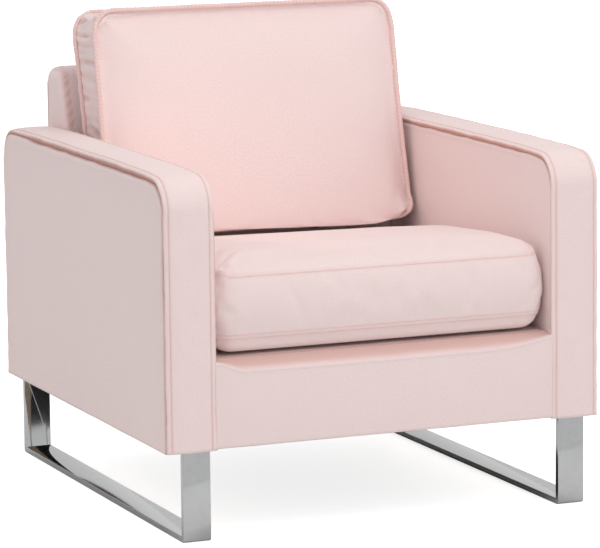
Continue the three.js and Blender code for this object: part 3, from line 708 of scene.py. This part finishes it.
def rail_section(v, x):
    """Point (y, z) up the front rail's cover, from the underside to the deck."""
    if x < 0:
        rise = 17 * smooth((abs(x) - 250) / 56)
    else:
        rise = 17 * min(1.0, max(0.0, (x - 130) / 176)) ** 3
    lip = LIP_HEIGHT + rise
    bend, turned = 5.0, math.radians(66)
    if v < 0.1:
        t = v / 0.1
        return rail_low.y + 26 * (1 - t) ** 1.5 + 0.3, FOOT + 3 * t * t
    if v < 0.66:
        t = (v - 0.1) / 0.56
        return rail_low.y - 1.4 * math.sin(math.pi * t), FOOT + 3 + (lip - bend - FOOT - 3) * t
    if v < 0.84:
        turn = (v - 0.66) / 0.18 * turned
        ridge = 0.8 * math.sin(math.pi * (v - 0.66) / 0.18)
        return rail_low.y + bend - (bend + ridge) * math.cos(turn), lip - bend + (
            bend + ridge
        ) * math.sin(turn)
    t = (v - 0.84) / 0.16
    y0, z0 = rail_low.y + bend * (1 - math.cos(turned)), lip - bend + bend * math.sin(turned)
    return y0 + (rail_high.y - y0) * t, z0 + (rail_high.z - z0) * t - 1.5 * math.sin(math.pi * t)


def make_front_rail(materials):
    def face(u, v):
        a = 2 * u - 1
        x = (1.5 * a - 0.5 * a**3) * (BETWEEN_ARMS + 3)
        y, z = rail_section(v, x)
        gap = BETWEEN_ARMS - abs(x)
        y += 1.6 * math.exp(-(((gap + 2) / 2.2) ** 2))
        y += 0.9 * ripple(x / 90, z / 60, 1.5) + 0.35 * ripple(x / 22, z / 40, 4.5)
        # Painted shadow on the slope behind the lip, under the seat cushion, and painted shade where
        # the rail meets the arms.
        shadow = 0.6 * smooth((v - 0.83) / 0.09)
        lift = 0.8 * ripple(x / 60, 0.3, 2.2) * smooth((v - 0.5) / 0.2)
        return Vector((x, y, z + lift)), min(1.0, shadow + (0.5 if gap < 0.5 else 0.0))

    bm = sheet_of(180, 56, face, 2 * BETWEEN_ARMS, 190)
    thicken(bm, 3)
    add_piece(
        "front_rail_panel", bm, "chair", materials["upholstery_cloth"], [
            "front_rail_cover"
        ]
    )


def make_cloth_sheets(materials):
    low, high = span("deck_cover")

    def deck(u, v):
        x = low.x + (high.x - low.x) * u
        y = low.y + (high.y - low.y) * v
        # Painted shade: the deck's cloth is darkened evenly all over.
        return Vector((x, y, high.z - 0.2 + 0.25 * ripple(x / 60, y / 60, 8.0))), 0.3

    bm = sheet_of(48, 48, deck, high.x - low.x, high.y - low.y)
    thicken(bm, 1.6)
    piece = add_piece(
        "deck_cloth", bm, "chair", materials["upholstery_cloth"], ["deck_cover"]
    )

    low, high = span("dust_cover")

    def dust(u, v):
        x = low.x + (high.x - low.x) * u
        y = low.y + (high.y - low.y) * v
        sag = 2.5 * math.sin(math.pi * u) * math.sin(math.pi * v)
        tuck = 0.5 * math.exp(-40 * min(u, 1 - u, v, 1 - v)) * math.sin(u * 90) * math.sin(v * 90)
        return Vector((x, y, low.z + 0.1 - sag + tuck + 0.3 * ripple(x / 50, y / 50, 3.0)))

    bm = sheet_of(64, 64, dust, high.x - low.x, high.y - low.y)
    thicken(bm, 0.8)
    piece = add_piece("underside_lining", bm, "chair", materials["lining"], ["dust_cover"])


REAR_SEAM_STEPS = 1200


def make_rear_cover(materials):
    low, high = span("rear_cover")
    middle = (low.x + high.x) / 2
    half = (high.x - low.x) / 2 - 1
    corner = 20

    def face(u, v):
        a, b = 2 * u - 1, 2 * v - 1
        z = low.z + (high.z - low.z) * (0.5 + 0.5 * (1.4 * b - 0.4 * b**3))
        over = max(0.0, z - (high.z - corner))
        reach = half - (corner - math.sqrt(max(0.0, corner * corner - over * over)))
        x = middle + reach * (1.5 * a - 0.5 * a**3)
        gap = min(half - abs(x), high.z - z, 0.6 * (z - low.z) + 6)
        if over > 0 and abs(x) > half - corner:
            gap = corner - math.hypot(abs(x) - half + corner, over)
        sink = 3.4 * math.exp(-((max(0.0, gap) / 3.5) ** 2)) + 0.8 * math.exp(-(((gap - 9) / 1.6) ** 2))
        soft = 0.6 * ripple(x / 110, z / 110, 12.0) + 0.25 * ripple(x / 25, z / 45, 15.0)
        return Vector((x, high.y + 0.2 - sink + soft * smooth(gap / 10), z))

    bm = sheet_of(110, 100, face, 2 * half, high.z - low.z)
    thicken(bm, 3)
    add_piece(
        "rear_panel", bm, "chair", materials["upholstery_cloth"], ["rear_cover"]
    )
    row = []
    for k in range(REAR_SEAM_STEPS + 1):
        (x, z), _ = arch(k / REAR_SEAM_STEPS, -half + 9, half - 9, low.z + 4, high.z - 9, 14)
        row.append((Vector((middle + x, high.y + 0.3, z)), Vector((0, 1, 0))))
    add_stitches("rear_panel_stitching", [row], "chair", materials)


# ---------------------------------------------------------------- back frame

back_low, back_high = span("back_frame_cover")
BACK_SLOPE = math.tan(math.radians(18.5))
BACK_FRONT_TOP = 354
BACK_CORNER = 22
BACK_ROUND = 14


def back_ring(s, z):
    """A point and outward direction on the back frame's cover at a height."""
    over = max(0.0, z - (back_high.z - BACK_CORNER))
    half = back_high.x - (BACK_CORNER - math.sqrt(max(0.0, BACK_CORNER**2 - over**2)))
    over = max(0.0, z - (back_high.z - BACK_ROUND))
    inset = BACK_ROUND - math.sqrt(max(0.0, BACK_ROUND**2 - over**2))
    front = BACK_FRONT_TOP - (back_high.z - z) * BACK_SLOPE + inset
    rear = back_high.y - 0.4 * inset
    point, out = loop_point(s, half, (rear - front) / 2, 9)
    return Vector((point.x, point.y + (rear + front) / 2, z)), Vector((out.x, out.y, 0))


def make_back_frame(materials):
    height = back_high.z - back_low.z

    def cover(u, v):
        rise = min(1.0, v / 0.9)
        rise = 1 - (1 - rise) ** 1.5
        point, out = back_ring(u, back_low.z + height * rise)
        if v > 0.9:
            shrink = 1 - (v - 0.9) / 0.1
            middle = (BACK_FRONT_TOP + back_high.y) / 2 + 3
            point.y = middle + (point.y - middle) * shrink
            point.z += 1.4 * (1 - shrink)
        # Painted shade along the seam at the front corner and in the groove beside it.
        seam_painted_shade = 0.0
        if out.y < 0.5:
            seam = abs(point.x) - (back_high.x - 9)
            point += out * (
                0.9 * math.exp(-((seam / 2.5) ** 2)) - 0.9 * math.exp(-(((seam + 7) / 1.8) ** 2))
            )
            seam_painted_shade = 0.6 * math.exp(-(((seam + 7) / 2.2) ** 2)) + 0.4 * math.exp(
                -(((seam + 1) / 2.2) ** 2)
            )
        point += out * (0.7 * ripple(point.x / 60, point.y / 60, point.z / 60, 20.0))
        point += out * (0.35 * ripple(point.x / 15, point.y / 15, point.z / 25, 23.0))
        return point, seam_painted_shade

    bm = sheet_of(260, 90, cover, 1300, 460)
    weld(bm)
    close_ends(bm)
    add_piece(
        "back_frame_shell", bm, "chair", materials["upholstery_cloth"], [
            "back_frame_cover"
        ]
    )
    rows = []
    for side, inset in ((-1, 15), (-1, 9), (1, 15), (1, 9)):
        row = []
        for k in range(200):
            z = back_low.z + 8 + (height - 26) * k / 199
            front = BACK_FRONT_TOP - (back_high.z - z) * BACK_SLOPE
            over = max(0.0, z - (back_high.z - BACK_ROUND))
            x = side * (back_high.x - inset)
            row.append((Vector((x, front + over * 0.4 + 0.5, z)), Vector((0, -1, BACK_SLOPE))))
        rows.append(row)
    add_stitches("back_frame_stitching", rows, "chair", materials)


# ---------------------------------------------------------------- cushions


def block(across, deep, tall):
    """A cube from -1 to 1 cut into a lattice."""
    bm = bmesh.new()
    bmesh.ops.create_cube(bm, size=2)
    for axis, cuts in enumerate((across, deep, tall)):
        edges = [
            e for e in bm.edges if abs(e.verts[0].co[axis] - e.verts[1].co[axis]) > 1
        ]
        bmesh.ops.subdivide_edges(bm, edges=edges, cuts=cuts - 1, use_grid_fill=True)
    return bm


def map_block_uv(bm, sizes):
    uv = bm.loops.layers.uv.new("cloth")
    for face in bm.faces:
        middle = face.calc_center_median()
        flat = max(range(3), key=lambda k: abs(middle[k]))
        first, second = [k for k in range(3) if k != flat]
        for corner in face.loops:
            co = corner.vert.co
            corner[uv].uv = (co[first] * sizes[first] * MM / 2, co[second] * sizes[second] * MM / 2)


def round_square(a, b, half_x, half_y, radius):
    """Maps the square from -1 to 1 onto a rectangle with round corners."""
    x, y = a * half_x, b * half_y
    p, q = (abs(x) - half_x + radius) / radius, (abs(y) - half_y + radius) / radius
    if p > 0 and q > 0:
        x = math.copysign(half_x - radius + radius * p * math.sqrt(1 - q * q / 2), x)
        y = math.copysign(half_y - radius + radius * q * math.sqrt(1 - p * p / 2), y)
    return x, y


def spread(t, ends=0.35):
    """Crowds a lattice's lines towards its ends."""
    return (1 + ends) * t - ends * t**3


def dome(gap, reach):
    """A quarter round from 0 at the seam to 1 at reach and beyond."""
    t = min(1.0, max(0.0, gap / reach))
    return math.sqrt(1 - (1 - t) ** 2)


def inflate(piece, held, pressure, cap, growth, frames=20):
    """Lets the cover swell as cloth under air pressure between its held points, which stay."""
    rest = [v.co.copy() for v in piece.data.vertices]
    group = piece.vertex_groups.new(name="held")
    group.add(held, 1.0, "REPLACE")
    cloth = piece.modifiers.new("swell", "CLOTH")
    cloth.settings.quality = 5
    cloth.settings.mass = 0.3
    cloth.settings.tension_stiffness = 20
    cloth.settings.compression_stiffness = 12
    cloth.settings.shear_stiffness = 6
    cloth.settings.bending_stiffness = 0.4
    cloth.settings.use_pressure = True
    cloth.settings.uniform_pressure_force = pressure
    cloth.settings.shrink_min = growth
    cloth.settings.vertex_group_mass = "held"
    cloth.settings.effector_weights.gravity = 0
    cloth.collision_settings.use_collision = False
    cloth.point_cache.frame_start = 1
    cloth.point_cache.frame_end = frames
    scene = bpy.context.scene
    for step in range(1, frames + 1):
        scene.frame_set(step)
    shown = piece.evaluated_get(bpy.context.evaluated_depsgraph_get())
    swollen = [v.co.copy() for v in shown.data.vertices]
    piece.modifiers.remove(cloth)
    scene.frame_set(1)
    for v, before, after in zip(piece.data.vertices, rest, swollen):
        move = after - before
        reach = move.length
        if reach > 0:
            v.co = before + move * (cap * math.tanh(reach / cap) / reach)
    piece.vertex_groups.clear()


def face_outwards(mesh):
    """Turns a closed mesh's faces outwards where they point in."""
    bm = bmesh.new()
    bm.from_mesh(mesh)
    if bm.calc_volume(signed=True) < 0:
        bmesh.ops.reverse_faces(bm, faces=bm.faces)
        bm.to_mesh(mesh)
    bm.free()


def soften(piece):
    """One level of live subdivision, the same in the view and in the render."""
    finer = piece.modifiers.new("subdivision", "SUBSURF")
    finer.levels = 1
    finer.render_levels = 1


def zip_channel(place, node, axis, outward):
    """Keeps the cloth just behind a zip, in a shallow channel."""
    low, high = span(node)
    middle, half = (low + high) / 2, (high - low) / 2
    across = 3 - axis
    beside = max(
        abs(place.x - middle.x) - half.x, abs(place[across] - middle[across]) - half[across], 0.0
    )
    face = middle[axis] - outward * (half[axis] + 1.0 - 7 * smooth(beside / 18))
    if outward * place[axis] > outward * face:
        place[axis] = face


def mark_painted_shade(piece, shade_amounts):
    """Stores how much painted shade each point gets, for the cloth's colour: a deeper salmon in
    grooves, seams and folds.
    """
    painted_shade = piece.data.attributes.new("painted_shade", "FLOAT", "POINT")
    painted_shade.data.foreach_set("value", shade_amounts)


SEAT_LOW, SEAT_HIGH = span("seat_cushion_cover")
SEAT_SEAMS = (328.0, 434.0)
SEAT_ROUND = 34
SEAT_TUCK = 8
SEAT_HALF = SEAT_HIGH.x - SEAT_TUCK
SEAT_DEEP = (SEAT_HIGH.y - SEAT_LOW.y) / 2 - SEAT_TUCK
SEAT_MIDDLE = (SEAT_HIGH.y + SEAT_LOW.y) / 2
SEAT_REAR_DROP = 50


def rear_drop(x, y):
    """How much lower the seat cushion's top is towards its rear, most of all at its right."""
    t = min(1.0, max(0.0, ((y - SEAT_MIDDLE) / (SEAT_DEEP + SEAT_TUCK) + 1) / 2))
    return SEAT_REAR_DROP * t**1.6 * (0.85 + 0.15 * x / SEAT_HALF)


def seat_point(a, b, c):
    lower, upper = SEAT_SEAMS
    x, y = round_square(spread(a), spread(b), SEAT_HALF, SEAT_DEEP, SEAT_ROUND)
    gap = min(SEAT_HALF - abs(x), SEAT_DEEP - abs(y))
    if abs(x) > SEAT_HALF - SEAT_ROUND and abs(y) > SEAT_DEEP - SEAT_ROUND:
        gap = SEAT_ROUND - math.hypot(abs(x) - SEAT_HALF + SEAT_ROUND, abs(y) - SEAT_DEEP + SEAT_ROUND)
    gap = max(0.0, gap)
    side = max(abs(a), abs(b)) > AT_EDGE
    if side:
        z = lower + (upper - lower) * (c + 1) / 2
        swell = 10.5 * (1 - abs(c + 0.1) ** 2.2 / 1.1**2.2)
        away = Vector(side_direction(x, y, SEAT_HALF, SEAT_DEEP, SEAT_ROUND))
        x, y = x + away.x * swell, y + away.y * swell
    elif c > 0:
        pressed = smooth((y + 60) / 300)
        z = upper + (21 - 13 * pressed) * dome(gap, 48) + 4 * dome(gap, 220)
    else:
        z = lower - (lower - SEAT_LOW.z - 0.4) * dome(gap, 30)
    y += SEAT_MIDDLE
    return Vector(
        (x, y, z - rear_drop(x, y) * smooth((z - lower) / (upper - lower)) if z > lower else z)
    )


def side_direction(x, y, half_x, half_y, radius):
    """Outward direction at a point of a rectangle with round corners."""
    px = max(0.0, abs(x) - half_x + radius)
    py = max(0.0, abs(y) - half_y + radius)
    if px == 0 and py == 0:
        return (0.0, 0.0)
    return tuple(Vector((math.copysign(px, x), math.copysign(py, y))).normalized())


def nudge(mesh, centre, radius, move):
    """Pulls the cloth near one point, in mm."""
    for v in mesh.vertices:
        away = (v.co / MM - Vector(centre)).length / radius
        if away < 1:
            v.co += Vector(move) * MM * (1 - away * away) ** 2


def make_seat_cushion(materials):
    bm = block(76, 78, 14)
    map_block_uv(bm, (2 * SEAT_HALF, 2 * SEAT_DEEP, 130))
    bm.verts.index_update()
    lattice = [v.co.copy() for v in bm.verts]
    held = []
    for v in bm.verts:
        a, b, c = v.co
        edge = max(abs(a), abs(b)) > AT_EDGE
        if edge and abs(c) > AT_EDGE:
            held.append(v.index)
        elif c < -AT_EDGE and max(abs(a), abs(b)) < 0.93:
            held.append(v.index)
    for v in bm.verts:
        v.co = seat_point(*v.co)
    piece = add_piece(
        "seat_cushion_body", bm, "seat_cushion", materials["cushion_cloth"],
        ["seat_cushion_cover", "seat_cushion_core"],
    )
    inflate(piece, held, 3.0, 0.006, -0.012)
    mesh = piece.data
    for v, (a, b, c) in zip(mesh.vertices, lattice):
        place = v.co / MM
        side = max(abs(a), abs(b)) > AT_EDGE
        away = Vector(
            (*side_direction(place.x, place.y - SEAT_MIDDLE, SEAT_HALF, SEAT_DEEP, SEAT_ROUND), 0)
        )
        if side:
            near = min(1 - abs(c), 0.25) / 0.25
            pucker = (1 - near) * 1.1 * ripple(place.x / 9, place.y / 9, c * 2, 31)
            wave = 1.1 * ripple(place.x / 55, place.y / 55, place.z / 40, 33)
            v.co += away * (pucker + wave - 1.0 * (1 if abs(c) > AT_EDGE else 0)) * MM
        else:
            gap = min(SEAT_HALF - abs(place.x), SEAT_DEEP - abs(place.y - SEAT_MIDDLE))
            pucker = math.exp(-gap / 14) * 1.2 * ripple(place.x / 9, place.y / 9, 0, 37)
            if c > 0:
                wave = 1.5 * ripple(place.x / 110, place.y / 110, 0, 39)
                v.co.z += (pucker + wave) * MM
        if side and b > 0:
            place = v.co / MM
            zip_channel(place, "seat_cushion_zip", 1, 1)
            v.co = place * MM
    nudge(mesh, (-SEAT_HALF + 4, FRONT + 18, 444), 24, (-5, -3, 13))
    mesh.update()
    # Painted shade along both seams of the seat cushion.
    on_seam = [abs(c) > AT_EDGE and max(abs(a), abs(b)) > AT_EDGE for a, b, c in lattice]
    mark_painted_shade(piece, [SEAM_PAINTED_SHADE if sewn else 0 for sewn in on_seam])
    soften(piece)
    seam_stitches(piece, lattice, materials)
    return piece


def seam_stitches(piece, lattice, materials):
    """Stitches beside both seams, laid on the cushion's finished skin."""
    ring = {}
    for index, (a, b, c) in enumerate(lattice):
        if max(abs(a), abs(b)) > AT_EDGE:
            ring.setdefault(round(c, 4), []).append((math.atan2(b, a), index))
    heights = sorted(ring)
    rows = []
    for height, toward, share in ((0, 1, 0.2), (1, 2, 0.1), (-1, -2, 0.3)):
        near = [i for _, i in sorted(ring[heights[height]])]
        beyond = [i for _, i in sorted(ring[heights[toward]])]
        row = []
        for i, j in zip(near, beyond):
            a, b = piece.data.vertices[i].co / MM, piece.data.vertices[j].co / MM
            out = Vector((*side_direction(a.x, a.y - SEAT_MIDDLE, SEAT_HALF, SEAT_DEEP, SEAT_ROUND), 0))
            row.append((a.lerp(b, share) + out * 0.3, out))
        rows.append(row + row[:1])
    add_stitches("seat_cushion_stitching", rows, "seat_cushion", materials)


BACK_LOW, BACK_HIGH = span("back_cushion_cover")
CUSHION_HALF = BACK_HIGH.x
CUSHION_FOOT, CUSHION_TOP = BACK_LOW.z, BACK_HIGH.z
CUSHION_RAKE = 0.2016
CUSHION_FRONT = 135.7
CUSHION_ROUND = 30


def cushion_frame(height):
    """The front seam's depth, the boxing's depth and the crowns at a height."""
    t = (height - CUSHION_FOOT) / (CUSHION_TOP - CUSHION_FOOT)
    y = CUSHION_FRONT + (height - CUSHION_FOOT) * CUSHION_RAKE
    return y, 78 + 28 * t, 62 - 28 * t


def broaden(z):
    """How much wider the back cushion is at a height than near its top."""
    return 1 + 0.02 * smooth((CUSHION_TOP - z) / 50) + 0.014 * smooth((640 - z) / 190)


def rear_slope(c, height):
    """How far the top of the cushion's side wall falls towards its rear edge."""
    return 11 * (c + 1) / 2 * smooth((height - 0.3) / 0.7)


def corner_lift(point):
    """Pulls the cushion's lower right front corner up and forward, as an ear."""
    away = (point - Vector((CUSHION_HALF, CUSHION_FRONT, CUSHION_FOOT))).length / 46
    return point + Vector((5, -12, 5)) * smooth(1 - away)


def back_point(a, b, c):
    tall = (CUSHION_TOP - CUSHION_FOOT) / 2
    middle = (CUSHION_TOP + CUSHION_FOOT) / 2
    x, h = round_square(spread(a), spread(b), CUSHION_HALF, tall, CUSHION_ROUND)
    z = middle + h
    x *= broaden(z)
    y, depth, crown = cushion_frame(z)
    gap = min(CUSHION_HALF - abs(x), tall - abs(h))
    side = max(abs(a), abs(b)) > AT_EDGE
    gap = max(0.0, gap)
    z -= rear_slope(c, h / tall)
    if side:
        t = (c + 1) / 2
        away = Vector(side_direction(x, h, CUSHION_HALF, tall, CUSHION_ROUND))
        swell = 3.0 * (1 - c * c)
        return corner_lift(Vector((x + away.x * swell, y + depth * t, z + away.y * swell)))
    if c < 0:
        low = 1 - smooth((h + tall) / 190)
        rise = (crown - 8) * (dome(gap, 120) * (1 - low) + dome(gap, 55) * low)
        hang = (41 + 7 * x / CUSHION_HALF) * low * dome(tall + h, 40) * smooth(
            (CUSHION_HALF + 20 - abs(x)) / 90
        )
        return corner_lift(Vector((x, y - rise, z - hang)))
    room = BACK_FRONT_TOP - (back_high.z - z) * BACK_SLOPE
    rise = max(4.0, min(26.0, room - 9 - (y + depth)))
    return Vector((x, y + depth + rise * dome(gap, 90), z))


def make_back_cushion(materials):
    bm = block(72, 72, 14)
    map_block_uv(bm, (2 * CUSHION_HALF, CUSHION_TOP - CUSHION_FOOT, 100))
    bm.verts.index_update()
    lattice = [v.co.copy() for v in bm.verts]
    held = []
    for v in bm.verts:
        a, b, c = v.co
        if max(abs(a), abs(b)) > AT_EDGE and abs(c) > AT_EDGE:
            held.append(v.index)
    for v in bm.verts:
        v.co = back_point(*v.co)
    piece = add_piece(
        "back_cushion_body", bm, "back_cushion", materials["cushion_cloth"],
        ["back_cushion_cover", "back_cushion_fill"],
    )
    inflate(piece, held, 4.0, 0.016, -0.015)
    mesh = piece.data
    tall = (CUSHION_TOP - CUSHION_FOOT) / 2
    middle = (CUSHION_TOP + CUSHION_FOOT) / 2
    shade_amounts = []
    for v, (a, b, c) in zip(mesh.vertices, lattice):
        place = v.co / MM
        side = max(abs(a), abs(b)) > AT_EDGE
        depth = 0.0
        if side:
            away = Vector(side_direction(place.x, place.z - middle, CUSHION_HALF, tall, CUSHION_ROUND))
            along = place.z if abs(place.x) > CUSHION_HALF - 20 else place.x
            phase = along / 19 + 0.9 * ripple(along / 60, c * 0.6, 0.5, 41) + 0.35 * c * ripple(
                along / 25, 0.5, 0.5, 44
            )
            pinch = (1 - abs(math.sin(phase * math.pi))) ** 2.2
            strength = 0.35 + 0.65 * smooth(0.5 + 1.6 * ripple(along / 23, c * 0.8, 0.5, 43))
            fold = 3.4 - 11 * pinch * strength * (1 - 0.35 * c * c)
            if abs(c) > AT_EDGE:
                fold *= 0.3
            # Painted shade in the valleys of the boxing's folds.
            depth = 0.6 * pinch * strength
            v.co += Vector((away.x, 0, away.y)) * fold * MM
            if b < 0:
                place = v.co / MM
                zip_channel(place, "back_cushion_zip", 2, -1)
                v.co = place * MM
        else:
            gap = min(CUSHION_HALF - abs(place.x), tall - abs(place.z - middle))
            pucker = math.exp(-max(0, gap) / 10) * 1.6 * ripple(place.x / 8, place.z / 8, 0, 47)
            wave = 1.6 * ripple(place.x / 100, place.z / 100, 0, 49)
            v.co.y += (pucker + wave) * MM
            if c < 0:
                # Painted shade on the front face, deepest at the cushion's foot.
                depth = 0.26 * math.exp(-max(0.0, place.z - CUSHION_FOOT + 12) / 26)
        shade_amounts.append(depth)
    mesh.update()
    mark_painted_shade(piece, shade_amounts)
    face_outwards(mesh)
    soften(piece)
    for label, c in (("front", -1), ("rear", 1)):
        make_welt(label, c, materials)


WELT_RIDGES = 255
WELT_RADIUS = 4.3
WELT_RIDGE_HEIGHT = 0.35
WELT_LENGTH = 1780


def make_welt(label, c, materials):
    """Round piping sewn along one edge of the back cushion."""
    tall = (CUSHION_TOP - CUSHION_FOOT) / 2
    middle = (CUSHION_TOP + CUSHION_FOOT) / 2

    def tube(u, v):
        point, out = loop_point(u, CUSHION_HALF, tall, CUSHION_ROUND)
        y, depth, _ = cushion_frame(middle + point.y)
        height = middle + point.y
        fall = rear_slope(c, point.y / tall)
        centre = Vector((point.x * broaden(height), y + (depth if c > 0 else 0), height - fall))
        away = Vector((out.x, c * 0.55, out.y)).normalized()
        beside = Vector((0, 1, 0))
        run = u * WELT_LENGTH
        turn = v * 2 * math.pi
        ridge = math.sin(u * 2 * math.pi * WELT_RIDGES + turn)
        calm = smooth(min(u, 1 - u) / 0.01)
        thick = WELT_RADIUS + WELT_RIDGE_HEIGHT * ridge + 0.5 * calm * ripple(
            run / 9, math.cos(turn), math.sin(turn), c
        )
        wander = calm * (
            0.8 * ripple(run / 45, 0, 5.0 * c) + (1.6 * ripple(run / 16, 0, 9.0) if c > 0 else 0)
        )
        round_ = away * math.cos(turn) + (
            beside - away * beside.dot(away)
        ).normalized() * math.sin(turn)
        # Painted shade in the piping's colour, rising and falling with its twisted ridges.
        ridge_painted_shade = 0.5 + 0.5 * ridge
        return corner_lift(centre) + away * (3.2 + wander) + round_ * thick, 0.3 * ridge_painted_shade

    bm = sheet_of(620, 12, tube, 1780, 27)
    weld(bm, 0.05)
    add_piece(
        f"back_cushion_{label}_piping", bm, "back_cushion", materials["piping"],
        [f"back_cushion_{label}_welt"],
    )


# ---------------------------------------------------------------- legs and zips


def make_legs(materials):
    for name in SIDES:
        bm = bevelled_copy(f"{name}_sled_leg", 0.9)
        add_piece(
            f"{name}_chrome_leg", bm, "chair", materials["chrome"], [f"{name}_sled_leg"]
        )


def make_zip(name, node, slider_node, body, slider_body, materials):
    low, high = span(node)
    flat_axis = 1 if high.y - low.y < high.z - low.z else 2
    width_axis = 3 - flat_axis
    middle = (low + high) / 2
    half = (high[width_axis] - low[width_axis]) / 2

    def tape(u, v):
        point = Vector((0, 0, 0))
        point.x = low.x + (high.x - low.x) * u
        point[width_axis] = middle[width_axis] + (2 * v - 1) * half
        point[flat_axis] = middle[flat_axis] + 0.25 * math.sin(u * 60)
        return point

    bm = sheet_of(160, 6, tape, high.x - low.x, 2 * half)
    thicken(bm, 1)
    count = int((high.x - low.x) / 3)
    for k in range(count):
        size = [1.3, 1.3, 1.3]
        size[width_axis] = 3.4
        size[flat_axis] = 2.2
        centre = middle.copy()
        centre.x = low.x + (k + 0.5) * 3
        centre[width_axis] += 0.9 * (-1) ** k
        place = Matrix.Translation(centre) @ Matrix.Diagonal((*size, 1))
        bmesh.ops.create_cube(bm, size=1, matrix=place)
    add_piece(f"{name}_tape", bm, body, materials["zip_tape"], [node], flat_faces=True)

    bm = bevelled_copy(slider_node, 0.5)
    add_piece(f"{name}_pull", bm, slider_body, materials["zip_metal"], [slider_node])


# ---------------------------------------------------------------- the whole chair

make_camera()
make_studio()
finishes = make_materials()
for arm_name, arm_side in SIDES.items():
    make_arm(arm_name, arm_side, finishes)
make_front_rail(finishes)
make_cloth_sheets(finishes)
make_rear_cover(finishes)
make_back_frame(finishes)
make_seat_cushion(finishes)
make_back_cushion(finishes)
make_legs(finishes)
make_zip(
    "seat_zip",
    "seat_cushion_zip",
    "seat_cushion_zip_slider",
    "seat_cushion",
    "seat_zip_slider",
    finishes,
)
make_zip(
    "back_zip",
    "back_cushion_zip",
    "back_cushion_zip_slider",
    "back_cushion",
    "back_zip_slider",
    finishes,
)
for row in frame["record"]["subparts"]:
    node = frame["nodes"][row["node"]]
    finish = finishes[row["material_slot"]]
    if not node.material_slots:
        node.data.materials.append(finish)
    for place in node.material_slots:
        place.material = finish
